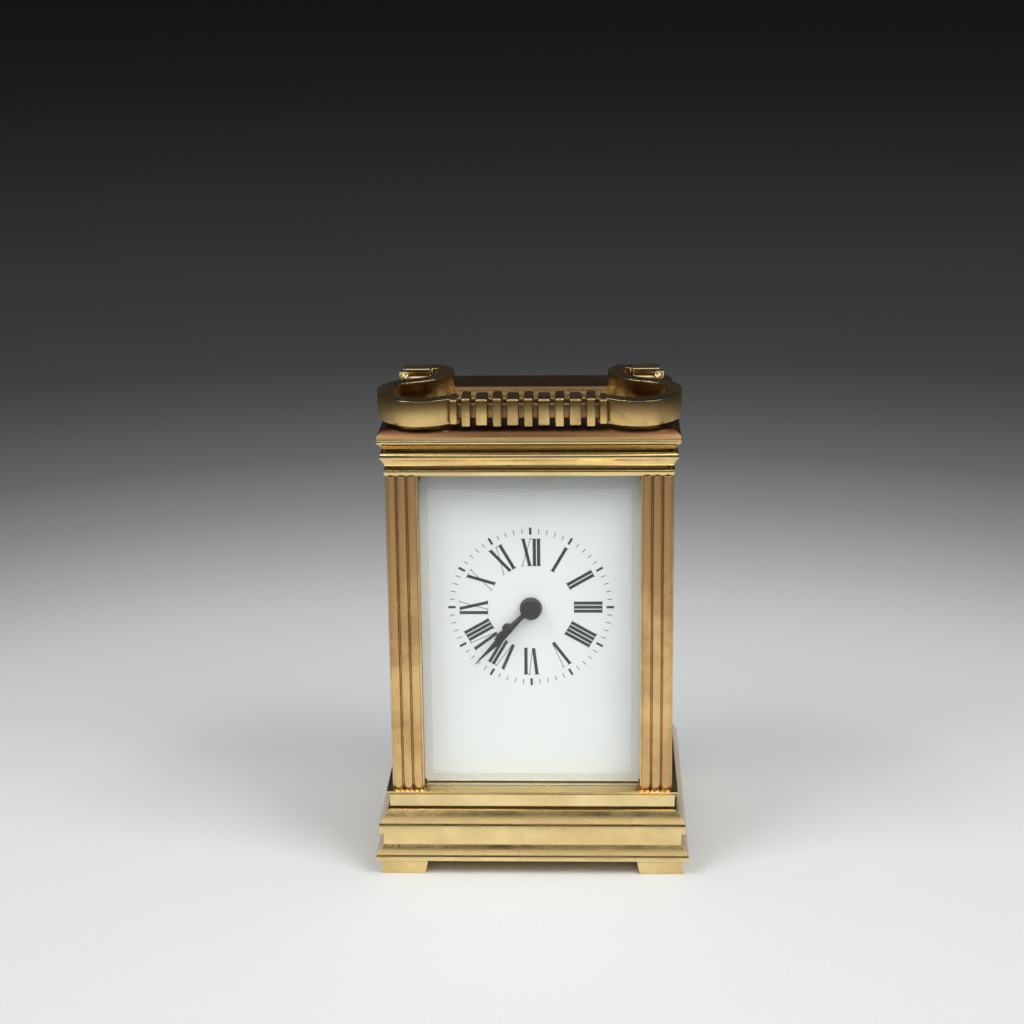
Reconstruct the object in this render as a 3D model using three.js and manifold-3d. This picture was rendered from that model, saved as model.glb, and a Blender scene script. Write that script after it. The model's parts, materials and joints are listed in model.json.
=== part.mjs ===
// Brass carriage clock: glazed case with folding handle, rear door, eight-day train and platform escapement.
// Millimetres, +Z up, dial facing -Y, origin on the ground at the middle of the case.
import * as THREE from 'three';
import Module from 'manifold-3d';
import { mergeVertices } from 'three/addons/utils/BufferGeometryUtils.js';

const wasm = await Module();
wasm.setup();

// ---- Case: half widths (X) and heights (Z). Every moulding is the same on the sides, DEPTH_STEP shallower.
const DEPTH_STEP = 5.5;
const FOOT_HEIGHT = 3.45;
const FOOT_GAP_HALF_X = 31;
const FOOT_GAP_HALF_Y = 25.5;
const FOOT_SLOPE = 0.8;
const PLINTH_TOP = 19.2;
const DECK_BOTTOM = 15.2;
const CAP_TOP = 24.6;
const PILLAR_OUT = 40.2;
const PILLAR_SIZE = 9.2;
const REED_MARGIN = 0.3;
const REED_DEPTH = 0.75;
const CORNICE_BOTTOM = 117.8;
const CORNICE_TOP = 128.3;
const TOP_SURFACE = 131.2;
const PLINTH_PROFILE = [
  [38, 0], [42.8, 0], [43.2, FOOT_HEIGHT], [45, 4.6], [45, 6.3], [44.5, 7.4], [43.6, 8.3], [42.85, 8.8],
  [42.85, 12.2], [43.7, 12.7], [44.1, 15], [43.7, 16.1], [42.6, 17], [41.5, 17.9], [40.8, PLINTH_TOP],
];
const CAP_PROFILE = [
  [31, PLINTH_TOP], [40.3, PLINTH_TOP], [40.3, 19.9], [40.9, 19.9], [40.9, 22.4], [41.2, 23.6],
  [41.8, 24.2], [41.8, CAP_TOP], [31, CAP_TOP],
];
const CORNICE_PROFILE = [
  [31, CORNICE_BOTTOM], [40.4, CORNICE_BOTTOM], [40.2, 119.5], [39.2, 119.5], [39.2, 120.8], [39.9, 120.8],
  [40.3, 122.2], [41.3, 123.2], [41.3, 124], [40.7, 124.8], [39.8, 124.8], [39.8, 125.8], [40.6, 125.8],
  [41, 126.9], [42, 127.6], [42, CORNICE_TOP], [26.3, CORNICE_TOP], [26.3, 126], [24.5, 126],
  [24.5, 124.6], [31, 124.6],
];
const TOP_FRAME_PROFILE = [
  [24, CORNICE_TOP], [42, CORNICE_TOP], [42, 128.8], [41.6, 129.8], [40.8, 130.7], [39.8, TOP_SURFACE],
  [24.6, TOP_SURFACE], [24, 130.6],
];

// ---- Glazing
const GLASS_THICKNESS = 2;
const GLASS_EDGE = 1;
const GLASS_INSET = 2.5;
const GLASS_REBATE = 1.5;
const BEVEL_WIDTH = 4.1;
const GROOVE_PLAY = 0.15;
const TOP_GLASS_HALF = 26;
const TOP_GLASS_Z = CORNICE_TOP - 2.2;

// ---- Handle, folded forward over the dial; its grip rests a little below its pivots
const PIVOT_Z = 138;
const HANDLE_DROOP = THREE.MathUtils.degToRad(3.3);
const BAND_THICKNESS = 3.9;
const BAND_HEIGHT = 7.1;
const HANDLE_END_X = 28.7;
const LOBE_RADIUS = 4.55;
const GRIP_HALF = 20.4;
const GRIP_Y = -31.3;
const RIB_PITCH = 4.3;
const PIVOT_SCREW_RADIUS = 1.12;
const LUG_OUT_X = 37;
const LUG_PLATE = 1.6;
const LUG_BOSS_X = 29;

// ---- Rear door
const DOOR_HALF_X = 30.7;
const DOOR_BOTTOM = 25;
const DOOR_TOP = 117.4;
const DOOR_Y = 31.5;
const DOOR_EDGE_RADIUS = 1.6;
const DOOR_BAR = 4.2;
const DOOR_PIN_RADIUS = 0.7;
const DOOR_SLOT = 1.8;
const DOOR_SLOT_DEPTH = 1.4;
const KNOB_Z = 72;

// ---- Movement: plates, and the arbors' places in the X-Z plane
const FRONT_PLATE = [-20.6, -18.4];
const BACK_PLATE = [14.4, 16.6];
const PLATE_HALF_X = 28;
const PLATE_TOP = 102;
const PLATFORM_TOP = 104;
const DIAL_FRONT = -26.8;
const DIAL_BACK = -25.6;
const BARREL_AT = [0, 43];
const INTERMEDIATE_AT = [9.05, 61.95];
const CENTRE_AT = [0, 77.5];
const THIRD_AT = [-10.714, 88.422];
const CONTRATE_AT = [0, 93.6];
const MINUTE_WHEEL_AT = [6.364, 71.136];
const PILLARS_AT = [[-24, 24.5], [24, 24.5], [-24, 97], [24, 97]];
const DIAL_FEET_AT = [[-23, 34], [23, 34], [-23, 91], [23, 91]];
const DIAL_HALF_X = 30.7;
const DIAL_TOP = CORNICE_BOTTOM - 0.3;
const RUNNING_PLAY = 0.08;
const ADDENDUM = 0.85;
const DEDENDUM = 1.2;
const PIVOT_RADIUS = 0.5;
const RATCHET_TEETH = 24;
const RATCHET_ROOT = 5.4;
const RATCHET_TIP = 6.5;
const CLICK_AT = [-3.15, 51.65];
const CLICK_FRONT = 17;
const CLICK_BACK = 18.2;
const CLICK_SPRING_FOOT = [14.5, 48];
// Each pair: wheel teeth, pinion leaves, module.
const GREAT_PAIR = [48, 8, 0.75];
const INTERMEDIATE_PAIR = [50, 10, 0.6];
const CENTRE_PAIR = [45, 6, 0.6];
const THIRD_PAIR = [45, 6, 7 / 15];
const MINUTE_PAIR = [24, 8, 0.5625];
const HOUR_PAIR = [32, 8, 0.45];
const MINUTE_HAND_ANGLE = THREE.MathUtils.degToRad(224.6);
const HOUR_HAND_ANGLE = THREE.MathUtils.degToRad(227.7);

// ---- Platform escapement, in the X-Y plane
const ESCAPE_Y = -4.4;
const LEVER_Y = 1.2;
const BALANCE_Y = 8.4;
const CROWN_TEETH = 24;
const CROWN_RADIUS = 7;
const CROWN_MODULE = 2 * CROWN_RADIUS / CROWN_TEETH;
const ESCAPE_LEAVES = 6;

const ROUND = 16;
const FULL_TURN = Math.PI * 2;
const clock = new THREE.Group();

// ---- Materials
function metal(color, roughness) {
  return new THREE.MeshStandardMaterial({ color, roughness, metalness: 1 });
}
const brass = metal(0xb79a56, 0.32);
const agedBrass = metal(0x8c7a45, 0.42);
const copperyBrass = metal(0xb08a62, 0.35);
const steel = metal(0x8f9296, 0.3);
const darkSteel = metal(0x2a2522, 0.4);
const enamel = new THREE.MeshStandardMaterial({ color: 0xe9ebe6, roughness: 0.15, metalness: 0 });
const glass = new THREE.MeshStandardMaterial({
  color: 0xdce8e0, roughness: 0.02, metalness: 0, transparent: true, opacity: 0.3,
});

// ---- Solid helpers
function toSolid(geometry) {
  const bare = geometry.clone();
  bare.deleteAttribute('normal');
  bare.deleteAttribute('uv');
  const merged = mergeVertices(bare, 1e-4);
  return new wasm.Manifold(new wasm.Mesh({
    numProp: 3,
    vertProperties: new Float32Array(merged.attributes.position.array),
    triVerts: new Uint32Array(merged.index.array),
  }));
}

function toGeometry(solid) {
  const mesh = solid.getMesh();
  const geometry = new THREE.BufferGeometry();
  geometry.setAttribute('position', new THREE.BufferAttribute(new Float32Array(mesh.vertProperties), 3));
  geometry.setIndex(Array.from(mesh.triVerts));
  geometry.computeVertexNormals();
  return geometry;
}

function join(...geometries) {
  return toGeometry(geometries.map(toSolid).reduce((a, b) => a.add(b)));
}

function cut(body, ...tools) {
  return toGeometry(tools.map(toSolid).reduce((a, b) => a.subtract(b), toSolid(body)));
}

function add(name, geometry, material, position = [0, 0, 0]) {
  const mesh = new THREE.Mesh(geometry, material);
  mesh.name = name;
  mesh.position.set(...position);
  clock.add(mesh);
  return mesh;
}

function box(low, high) {
  const geometry = new THREE.BoxGeometry(high[0] - low[0], high[1] - low[1], high[2] - low[2]);
  return geometry.translate((low[0] + high[0]) / 2, (low[1] + high[1]) / 2, (low[2] + high[2]) / 2);
}

// A turned piece whose axis is Y; the profile is [radius, y] and runs anticlockwise.
function turnedY(profile, segments = ROUND) {
  return new THREE.LatheGeometry(profile.map(([r, y]) => new THREE.Vector2(r, y)), segments);
}

function turnedZ(profile, segments = ROUND) {
  return turnedY(profile, segments).rotateX(Math.PI / 2);
}

function turnedX(profile, segments = ROUND) {
  return turnedY(profile, segments).rotateZ(-Math.PI / 2);
}

// A solid rod as a lathe profile: [[radius, from], ...] steps that end at the last height.
function rodProfile(steps, end) {
  const profile = [[0, steps[0][1]]];
  steps.forEach(([radius, from], i) => {
    const to = i + 1 < steps.length ? steps[i + 1][1] : end;
    profile.push([radius, from], [radius, to]);
  });
  profile.push([0, end]);
  return profile;
}

function rodY(radius, from, to, x = 0, z = 0, segments = ROUND) {
  return turnedY(rodProfile([[radius, from]], to), segments).translate(x, 0, z);
}

function rodZ(radius, from, to, x = 0, y = 0, segments = ROUND) {
  return turnedZ(rodProfile([[radius, from]], to), segments).translate(x, y, 0);
}

function rodX(radius, from, to, y = 0, z = 0, segments = ROUND) {
  return turnedX(rodProfile([[radius, from]], to), segments).translate(0, y, z);
}

// A flat piece drawn in X-Z (as seen from the front) between two Y planes.
function sheetXZ(shape, yFront, yBack, curveSegments = 8) {
  const depth = yBack - yFront;
  const geometry = new THREE.ExtrudeGeometry(shape, { depth, bevelEnabled: false, curveSegments });
  return geometry.rotateX(Math.PI / 2).translate(0, yBack, 0);
}

// A flat piece drawn in X-Y between two heights.
function sheetXY(shape, zLow, zHigh, curveSegments = 8) {
  const depth = zHigh - zLow;
  const geometry = new THREE.ExtrudeGeometry(shape, { depth, bevelEnabled: false, curveSegments });
  return geometry.translate(0, 0, zLow);
}

function outline(points) {
  return new THREE.Shape(points.map(([x, y]) => new THREE.Vector2(x, y)));
}

function roundHole(x, y, radius) {
  return new THREE.Path().absarc(x, y, radius, 0, FULL_TURN, true);
}

function disc(x, y, radius) {
  return new THREE.Shape().absarc(x, y, radius, 0, FULL_TURN, false);
}

// A moulding carried round a rectangle with mitred corners. Each profile point [w, z] is a rectangle of
// half width w and half depth w - step; an open profile is closed by a flat at each end.
function mitred(profile, step, closed) {
  const positions = [];
  const index = [];
  profile.forEach(([w, z]) => {
    [[-1, -1], [1, -1], [1, 1], [-1, 1]].forEach(([sx, sy]) => positions.push(sx * w, sy * (w - step), z));
  });
  const count = profile.length;
  const spans = closed ? count : count - 1;
  for (let i = 0; i < spans; i += 1) {
    const a = i * 4;
    const b = ((i + 1) % count) * 4;
    for (let k = 0; k < 4; k += 1) {
      const n = (k + 1) % 4;
      index.push(a + k, a + n, b + n, a + k, b + n, b + k);
    }
  }
  if (!closed) {
    const last = (count - 1) * 4;
    index.push(0, 2, 1, 0, 3, 2);
    index.push(last, last + 1, last + 2, last, last + 2, last + 3);
  }
  const geometry = new THREE.BufferGeometry();
  geometry.setAttribute('position', new THREE.Float32BufferAttribute(positions, 3));
  geometry.setIndex(index);
  return geometry;
}

// ---- Case
function basePlinth() {
  const body = mitred([[38, DECK_BOTTOM], ...PLINTH_PROFILE], DEPTH_STEP, false);
  const gap = (half) => outline([
    [-half + FOOT_SLOPE, FOOT_HEIGHT], [-half, -1], [half, -1], [half - FOOT_SLOPE, FOOT_HEIGHT],
  ]);
  const along = sheetXZ(gap(FOOT_GAP_HALF_X), -60, 60);
  const across = sheetXZ(gap(FOOT_GAP_HALF_Y), -60, 60).rotateZ(Math.PI / 2);
  return cut(body, along, across);
}

// One outer face of a pillar, from the outer corner inward: three rounded reeds with sharp valleys.
function reededEdge() {
  const reed = (PILLAR_SIZE - 2 * REED_MARGIN) / 3;
  const edge = [];
  for (let i = 0; i < 3; i += 1) {
    for (let s = 0; s <= 4; s += 1) {
      const across = REED_MARGIN + reed * (i + 0.06 + 0.22 * s);
      edge.push([across, REED_DEPTH * (1 - Math.sin(Math.PI * s / 4))]);
    }
  }
  edge.push([PILLAR_SIZE, REED_DEPTH]);
  return edge.slice(1);
}

// Section measured inward from the outer corner; the panes slide into grooves in the inner faces.
function pillar(signX, signY) {
  const near = GLASS_INSET - GROOVE_PLAY;
  const far = GLASS_INSET + GLASS_THICKNESS + GROOVE_PLAY;
  const bottom = PILLAR_SIZE - GLASS_REBATE - GROOVE_PLAY;
  const groove = [[PILLAR_SIZE, near], [bottom, near], [bottom, far], [PILLAR_SIZE, far]];
  const swapped = (points) => points.map(([x, y]) => [y, x]).reverse();
  const frontGroove = signY < 0 ? groove : [];
  const loop = [
    [REED_MARGIN, REED_MARGIN], ...reededEdge(), ...frontGroove, [PILLAR_SIZE, PILLAR_SIZE],
    ...swapped(groove), ...swapped(reededEdge()),
  ];
  const place = ([x, y]) => [signX * (PILLAR_OUT - x), signY * (PILLAR_OUT - DEPTH_STEP - y)];
  return sheetXY(outline(loop.map(place)), CAP_TOP, CORNICE_BOTTOM);
}

// A bevelled pane lying in X-Y, with its bevel on the +Z side.
function pane(halfX, halfY, bevel) {
  return mitred([
    [halfX, 0], [halfX, GLASS_EDGE], [halfX - bevel, GLASS_THICKNESS],
  ], halfX - halfY, false);
}

function handleLug(side) {
  const half = 4;
  const shape = new THREE.Shape();
  shape.moveTo(-half, TOP_SURFACE);
  shape.lineTo(half, TOP_SURFACE);
  shape.lineTo(half - 0.5, PIVOT_Z);
  shape.absarc(0, PIVOT_Z, half - 0.5, 0, Math.PI, false);
  const plate = new THREE.ExtrudeGeometry(shape, { depth: LUG_PLATE, bevelEnabled: false, curveSegments: 10 });
  plate.rotateX(Math.PI / 2).rotateZ(Math.PI / 2).translate(LUG_OUT_X - LUG_PLATE, 0, 0);
  const bossProfile = rodProfile([[3.3, LUG_BOSS_X]], LUG_OUT_X - LUG_PLATE / 2);
  const boss = turnedX(bossProfile, 20).translate(0, 0, PIVOT_Z);
  const foot = box([LUG_BOSS_X + 1, -2.4, TOP_SURFACE], [LUG_OUT_X - LUG_PLATE / 2, 2.4, PIVOT_Z - 2]);
  const hole = rodX(PIVOT_SCREW_RADIUS + 0.05, LUG_BOSS_X - 1, LUG_OUT_X + 1, 0, PIVOT_Z);
  const lug = cut(join(plate, boss, foot), hole);
  return side < 0 ? lug.rotateZ(Math.PI) : lug;
}

function handleScrew(side) {
  const shank = rodProfile([[PIVOT_SCREW_RADIUS, HANDLE_END_X - 5], [2.3, LUG_OUT_X + 0.05]], LUG_OUT_X + 1);
  const body = turnedX(shank).translate(0, 0, PIVOT_Z);
  const slot = box([LUG_OUT_X + 0.5, -3, PIVOT_Z - 0.3], [LUG_OUT_X + 2, 3, PIVOT_Z + 0.3]);
  const screw = cut(body, slot);
  return side < 0 ? screw.rotateZ(Math.PI) : screw;
}

// ---- Handle: one scrolled band each side of a ribbed grip, drawn in plan and given its height.
function bandCentreline() {
  const points = [];
  const lobeY = -LOBE_RADIUS;
  points.push([HANDLE_END_X, 0]);
  for (let s = 0; s <= 6; s += 1) {
    const angle = THREE.MathUtils.degToRad(90 + 17 * s);
    points.push([HANDLE_END_X - 0.3 + LOBE_RADIUS * Math.cos(angle), lobeY + LOBE_RADIUS * Math.sin(angle)]);
  }
  points.push([26.6, -11.2], [29.9, -13.4], [34, -15], [37.6, -17], [39.9, -20.2], [40.5, -24], [39.6, -28]);
  points.push([37, -31.6], [33.4, -33.9], [29.6, -34.4], [25.6, -33.4], [22.6, -31.9]);
  points.push([GRIP_HALF - 1, GRIP_Y]);
  return points;
}

function ribbon(points, thickness) {
  const left = [];
  const right = [];
  points.forEach(([x, y], i) => {
    const before = points[Math.max(i - 1, 0)];
    const after = points[Math.min(i + 1, points.length - 1)];
    const length = Math.hypot(after[0] - before[0], after[1] - before[1]);
    const nx = -(after[1] - before[1]) / length * thickness / 2;
    const ny = (after[0] - before[0]) / length * thickness / 2;
    left.push([x + nx, y + ny]);
    right.push([x - nx, y - ny]);
  });
  return [...left, ...right.reverse()];
}

function handle() {
  const bottom = PIVOT_Z - BAND_HEIGHT / 2;
  const top = PIVOT_Z + BAND_HEIGHT / 2;
  const band = ribbon(bandCentreline(), BAND_THICKNESS);
  const mirror = band.map(([x, y]) => [-x, y]);
  const pieces = [sheetXY(outline(band), bottom, top), sheetXY(outline(mirror), bottom, top)];
  const core = 3.1;
  pieces.push(box([-GRIP_HALF, GRIP_Y - core, PIVOT_Z - core], [GRIP_HALF, GRIP_Y + core, PIVOT_Z + core]));
  for (let i = -4; i <= 4; i += 1) {
    const tall = i % 2 === 0;
    const halfWidth = tall ? 1.2 : 1.6;
    const half = tall ? 4.1 : 3.8;
    const at = i * RIB_PITCH;
    const low = [at - halfWidth, GRIP_Y - half, PIVOT_Z - half];
    pieces.push(box(low, [at + halfWidth, GRIP_Y + half, PIVOT_Z + half]));
  }
  const bores = [-1, 1].map((side) => {
    const from = side < 0 ? -HANDLE_END_X - 1 : HANDLE_END_X - 5.4;
    return rodX(PIVOT_SCREW_RADIUS + RUNNING_PLAY, from, from + 6.4, 0, PIVOT_Z);
  });
  const level = cut(join(...pieces), ...bores);
  return level.translate(0, 0, -PIVOT_Z).rotateX(HANDLE_DROOP).translate(0, 0, PIVOT_Z);
}

// ---- Rear door
function rearDoor() {
  const rise = (DOOR_TOP - DOOR_BOTTOM) / 2 - DOOR_HALF_X;
  const inside = DOOR_HALF_X - DOOR_BAR;
  const slot = DOOR_SLOT;
  const profile = [[inside, -slot / 2 - 0.3], [inside + 0.8, -DOOR_EDGE_RADIUS]];
  for (let s = 0; s <= 6; s += 1) {
    const angle = -Math.PI / 2 + Math.PI * s / 6;
    profile.push([
      DOOR_HALF_X - DOOR_EDGE_RADIUS + DOOR_EDGE_RADIUS * Math.cos(angle), DOOR_EDGE_RADIUS * Math.sin(angle),
    ]);
  }
  profile.push([inside + 0.8, DOOR_EDGE_RADIUS], [inside, slot / 2 + 0.3], [inside, slot / 2]);
  const slotEnd = inside + DOOR_SLOT_DEPTH;
  profile.push([slotEnd, slot / 2], [slotEnd, -slot / 2], [inside, -slot / 2]);
  const frame = mitred(profile, -rise, true).rotateX(Math.PI / 2);
  frame.translate(0, DOOR_Y, (DOOR_TOP + DOOR_BOTTOM) / 2);
  const hinge = DOOR_HALF_X - DOOR_EDGE_RADIUS;
  const hole = DOOR_PIN_RADIUS + RUNNING_PLAY;
  return cut(
    frame,
    rodZ(hole, DOOR_BOTTOM - 1, DOOR_BOTTOM + 3, hinge, DOOR_Y, 12),
    rodZ(hole, DOOR_TOP - 3, DOOR_TOP + 1, hinge, DOOR_Y, 12),
    rodY(0.8, DOOR_Y - 3, DOOR_Y + 3, -hinge, KNOB_Z, 12),
  );
}

// ---- Toothed wheels, drawn in X-Z; teeth are centred on phase, phase + pitch, ...
// Each ring of a tooth is [radius, half width], both from the root on one side to the root on the other.
function toothLoop(teeth, phase, rings) {
  const points = [];
  for (let i = 0; i < teeth; i += 1) {
    const centre = phase + i * FULL_TURN / teeth;
    rings.forEach(([radius, half]) => {
      const angle = centre + half * 2 / teeth;
      points.push([radius * Math.cos(angle), radius * Math.sin(angle)]);
    });
  }
  return points;
}

function wheelLoop(teeth, module, phase) {
  const pitchRadius = teeth * module / 2;
  const root = pitchRadius - DEDENDUM * module;
  const tip = pitchRadius + ADDENDUM * module;
  return toothLoop(teeth, phase, [[root, -0.8], [tip, -0.12], [tip, 0.12], [root, 0.8]]);
}

function pinionLoop(teeth, module, phase) {
  const pitchRadius = teeth * module / 2;
  const root = pitchRadius - DEDENDUM * module;
  const tip = pitchRadius + ADDENDUM * module;
  return toothLoop(teeth, phase, [[root, -0.5], [tip, -0.16], [tip, 0.16], [root, 0.5]]);
}

function arcPoints(radius, from, to, steps) {
  return Array.from({ length: steps + 1 }, (_, i) => {
    const angle = from + (to - from) * i / steps;
    return [radius * Math.cos(angle), radius * Math.sin(angle)];
  });
}

function spokedWheel([teeth, , module], boreRadius, spokes = 5) {
  const shape = outline(wheelLoop(teeth, module, 0));
  shape.holes.push(roundHole(0, 0, boreRadius));
  const rim = teeth * module / 2 - DEDENDUM * module - 1.3;
  const hub = boreRadius + 1.6;
  const spoke = 0.75;
  for (let i = 0; i < spokes; i += 1) {
    const from = i * FULL_TURN / spokes;
    const to = from + FULL_TURN / spokes;
    const outer = arcPoints(rim, from + spoke / rim, to - spoke / rim, 5);
    const inner = arcPoints(hub, from + spoke / hub, to - spoke / hub, 2);
    shape.holes.push(new THREE.Path([...outer, ...inner.reverse()].map(([x, y]) => new THREE.Vector2(x, y))));
  }
  return shape;
}

// Leaves that mesh with the pair's wheel, whose first tooth points along +X, from the direction `heading`.
function meshingLeaves([wheelTeeth, leaves, module], heading) {
  const offset = heading * wheelTeeth / FULL_TURN;
  return pinionLoop(leaves, module, heading + Math.PI - (0.5 - offset) * FULL_TURN / leaves);
}

function headingFrom(a, b) {
  return Math.atan2(b[1] - a[1], b[0] - a[0]);
}

// ---- Movement frame
function plate([yFront, yBack], holes) {
  const shape = outline([
    [-PLATE_HALF_X, PLINTH_TOP], [PLATE_HALF_X, PLINTH_TOP],
    [PLATE_HALF_X, PLATE_TOP], [-PLATE_HALF_X, PLATE_TOP],
  ]);
  holes.forEach(([[x, z], radius]) => shape.holes.push(roundHole(x, z, radius)));
  return sheetXZ(shape, yFront, yBack);
}

function plateHoles() {
  const pivots = [INTERMEDIATE_AT, THIRD_AT, CONTRATE_AT].map((at) => [at, PIVOT_RADIUS + RUNNING_PLAY]);
  const pillars = PILLARS_AT.map((at) => [at, 1.3]);
  return [...pillars, ...pivots, [CENTRE_AT, 1 + RUNNING_PLAY], [BARREL_AT, 2 + RUNNING_PLAY]];
}

function frontPlate() {
  const holes = plateHoles();
  DIAL_FEET_AT.forEach((at) => holes.push([at, 0.9]));
  const stud = rodY(0.65, -24.4, FRONT_PLATE[0] + 0.5, ...MINUTE_WHEEL_AT, 12);
  return join(plate(FRONT_PLATE, holes), stud);
}

function backPlate() {
  const holes = plateHoles();
  const stud = rodY(0.75, BACK_PLATE[1] - 0.5, 18.6, ...CLICK_AT, 12);
  return join(plate(BACK_PLATE, holes), stud);
}

function movementPillar() {
  const steps = [[1.2, FRONT_PLATE[0] + 0.2], [2.2, FRONT_PLATE[1]], [1.2, BACK_PLATE[0]]];
  return turnedY(rodProfile(steps, BACK_PLATE[1] - 0.2), 12);
}

function dial() {
  const shape = outline([
    [-DIAL_HALF_X, DOOR_BOTTOM], [DIAL_HALF_X, DOOR_BOTTOM], [DIAL_HALF_X, DIAL_TOP], [-DIAL_HALF_X, DIAL_TOP],
  ]);
  shape.holes.push(roundHole(...CENTRE_AT, 3));
  const feet = DIAL_FEET_AT.map((at) => rodY(0.8, DIAL_BACK - 0.4, FRONT_PLATE[0] + 1.5, ...at, 8));
  return join(sheetXZ(shape, DIAL_FRONT, DIAL_BACK), ...feet);
}

// ---- Going train: each arbor is a steel pinion with its brass wheel on it
function arbor(bodyRadius, leaves, from, to) {
  const steps = [
    [PIVOT_RADIUS, FRONT_PLATE[0] + 0.2], [bodyRadius, FRONT_PLATE[1] + 0.2],
    [PIVOT_RADIUS, BACK_PLATE[0] - 0.2],
  ];
  return join(turnedY(rodProfile(steps, BACK_PLATE[1] - 0.2), 12), sheetXZ(outline(leaves), from, to));
}

function barrel() {
  const drum = turnedY([
    [3.1, 3.8], [15.4, 3.8], [15.4, -12.2], [15.95, -12.2], [15.95, -13.4], [16.6, -13.4], [16.6, 5],
    [17.2, 5], [17.2, 7], [3.1, 7], [3.1, 3.8],
  ], 32);
  const teeth = outline(wheelLoop(GREAT_PAIR[0], GREAT_PAIR[2], 0));
  teeth.holes.push(roundHole(0, 0, 14));
  return join(drum, sheetXZ(teeth, 5.2, 7));
}

function spiral(inner, outer, turns, perTurn) {
  const points = [];
  for (let i = 0; i <= turns * perTurn; i += 1) {
    const radius = inner + (outer - inner) * i / (turns * perTurn);
    const angle = FULL_TURN * i / perTurn;
    points.push([radius * Math.cos(angle), radius * Math.sin(angle)]);
  }
  return points;
}

function barrelCover() {
  return turnedY([[3.1, -13.4], [15.85, -13.4], [15.85, -12.3], [3.1, -12.3], [3.1, -13.4]], 24);
}

function mainspring() {
  return sheetXZ(outline(ribbon(spiral(4.7, 14.9, 5, 16), 0.5)), -12, 3.6);
}

function barrelArbor() {
  const steps = [
    [2, FRONT_PLATE[0] + 0.2], [3, FRONT_PLATE[1] + 0.2], [4, -12], [3, 3.5], [2, BACK_PLATE[0] - 0.2],
  ];
  const square = box([-1.5, 18.4, -1.5], [1.5, 25, 1.5]);
  return join(turnedY(rodProfile(steps, 18.6)), square);
}

function ratchetWheel() {
  const points = [];
  for (let i = 0; i < RATCHET_TEETH; i += 1) {
    const start = i * FULL_TURN / RATCHET_TEETH;
    const end = start + FULL_TURN / RATCHET_TEETH;
    points.push([RATCHET_ROOT * Math.cos(start), RATCHET_ROOT * Math.sin(start)]);
    points.push([RATCHET_TIP * Math.cos(end), RATCHET_TIP * Math.sin(end)]);
  }
  const shape = outline(points);
  shape.holes.push(roundHole(0, 0, 2.05));
  return sheetXZ(shape, 17, 18.3);
}

function polar([radius, degrees]) {
  const angle = THREE.MathUtils.degToRad(degrees);
  return [radius * Math.cos(angle), radius * Math.sin(angle)];
}

// The click's nose drops into a ratchet tooth; its eye turns on a stud in the back plate.
function click() {
  const arm = outline([
    [5.7, 61], [5.95, 65.3], [7, 67], [7.1, 80], [7.4, 96], [8.2, 104], [10, 104], [9, 90], [8.3, 75],
    [7.5, 62], [6.6, 61],
  ].map(polar));
  const pivot = [CLICK_AT[0] - BARREL_AT[0], CLICK_AT[1] - BARREL_AT[1]];
  const bore = rodY(0.85, CLICK_FRONT - 1, CLICK_BACK + 1.8, ...pivot, 12);
  const eye = disc(...pivot, 1.75);
  const body = join(sheetXZ(arm, CLICK_FRONT, CLICK_BACK), sheetXZ(eye, CLICK_FRONT, CLICK_BACK));
  return cut(body, bore);
}

function clickSpring() {
  const [footX, footZ] = CLICK_SPRING_FOOT;
  const bends = [[0, 1], [-1.9, 4], [-5.5, 6], [-9.5, 6.6], [-12.5, 6]];
  const leaf = outline(ribbon(bends.map(([x, z]) => [footX + x, footZ + z]), 0.5));
  const foot = disc(footX, footZ, 1.7);
  return join(sheetXZ(leaf, BACK_PLATE[1], 18), sheetXZ(foot, BACK_PLATE[1], 18));
}

function centreArbor() {
  const square = box([-1.1, 18, -1.1], [1.1, 25, 1.1]);
  return join(rodY(1, -30, 18.2), square);
}

function centrePinion(leafLoop) {
  const tube = turnedY([[1.1, -13], [1.9, -13], [1.9, 12.6], [1.1, 12.6], [1.1, -13]]);
  const leaves = outline(leafLoop);
  leaves.holes.push(roundHole(0, 0, 1.5));
  return join(tube, sheetXZ(leaves, 9, 11.6));
}

// The crown teeth stand on the wheel's front face and drive the upright escape pinion.
function contrateWheel() {
  const pitchPlane = ESCAPE_Y + CROWN_MODULE * ESCAPE_LEAVES / 2;
  const tip = pitchPlane - ADDENDUM * CROWN_MODULE;
  const root = pitchPlane + DEDENDUM * CROWN_MODULE;
  const back = -1;
  const edge = [[-0.78, root], [-0.18, tip], [0.18, tip], [0.78, root]];
  const rim = [CROWN_RADIUS - 0.6, CROWN_RADIUS + 0.6];
  const positions = [];
  for (let i = 0; i < CROWN_TEETH; i += 1) {
    edge.forEach(([half, y]) => {
      const angle = Math.PI / 2 + i * FULL_TURN / CROWN_TEETH + half * CROWN_MODULE / CROWN_RADIUS;
      rim.forEach((radius) => {
        positions.push(radius * Math.cos(angle), y, radius * Math.sin(angle));
        positions.push(radius * Math.cos(angle), back, radius * Math.sin(angle));
      });
    });
  }
  const count = CROWN_TEETH * edge.length;
  const index = [];
  for (let i = 0; i < count; i += 1) {
    const a = i * 4;
    const b = ((i + 1) % count) * 4;
    [[0, 2], [2, 3], [3, 1], [1, 0]].forEach(([p, q]) => index.push(a + p, a + q, b + q, a + p, b + q, b + p));
  }
  const crown = new THREE.BufferGeometry();
  crown.setAttribute('position', new THREE.Float32BufferAttribute(positions, 3));
  crown.setIndex(index);
  const web = disc(0, 0, CROWN_RADIUS - 0.3);
  web.holes.push(roundHole(0, 0, 0.75));
  return join(crown, sheetXZ(web, back - 0.8, back - 0.1, 12));
}

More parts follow.
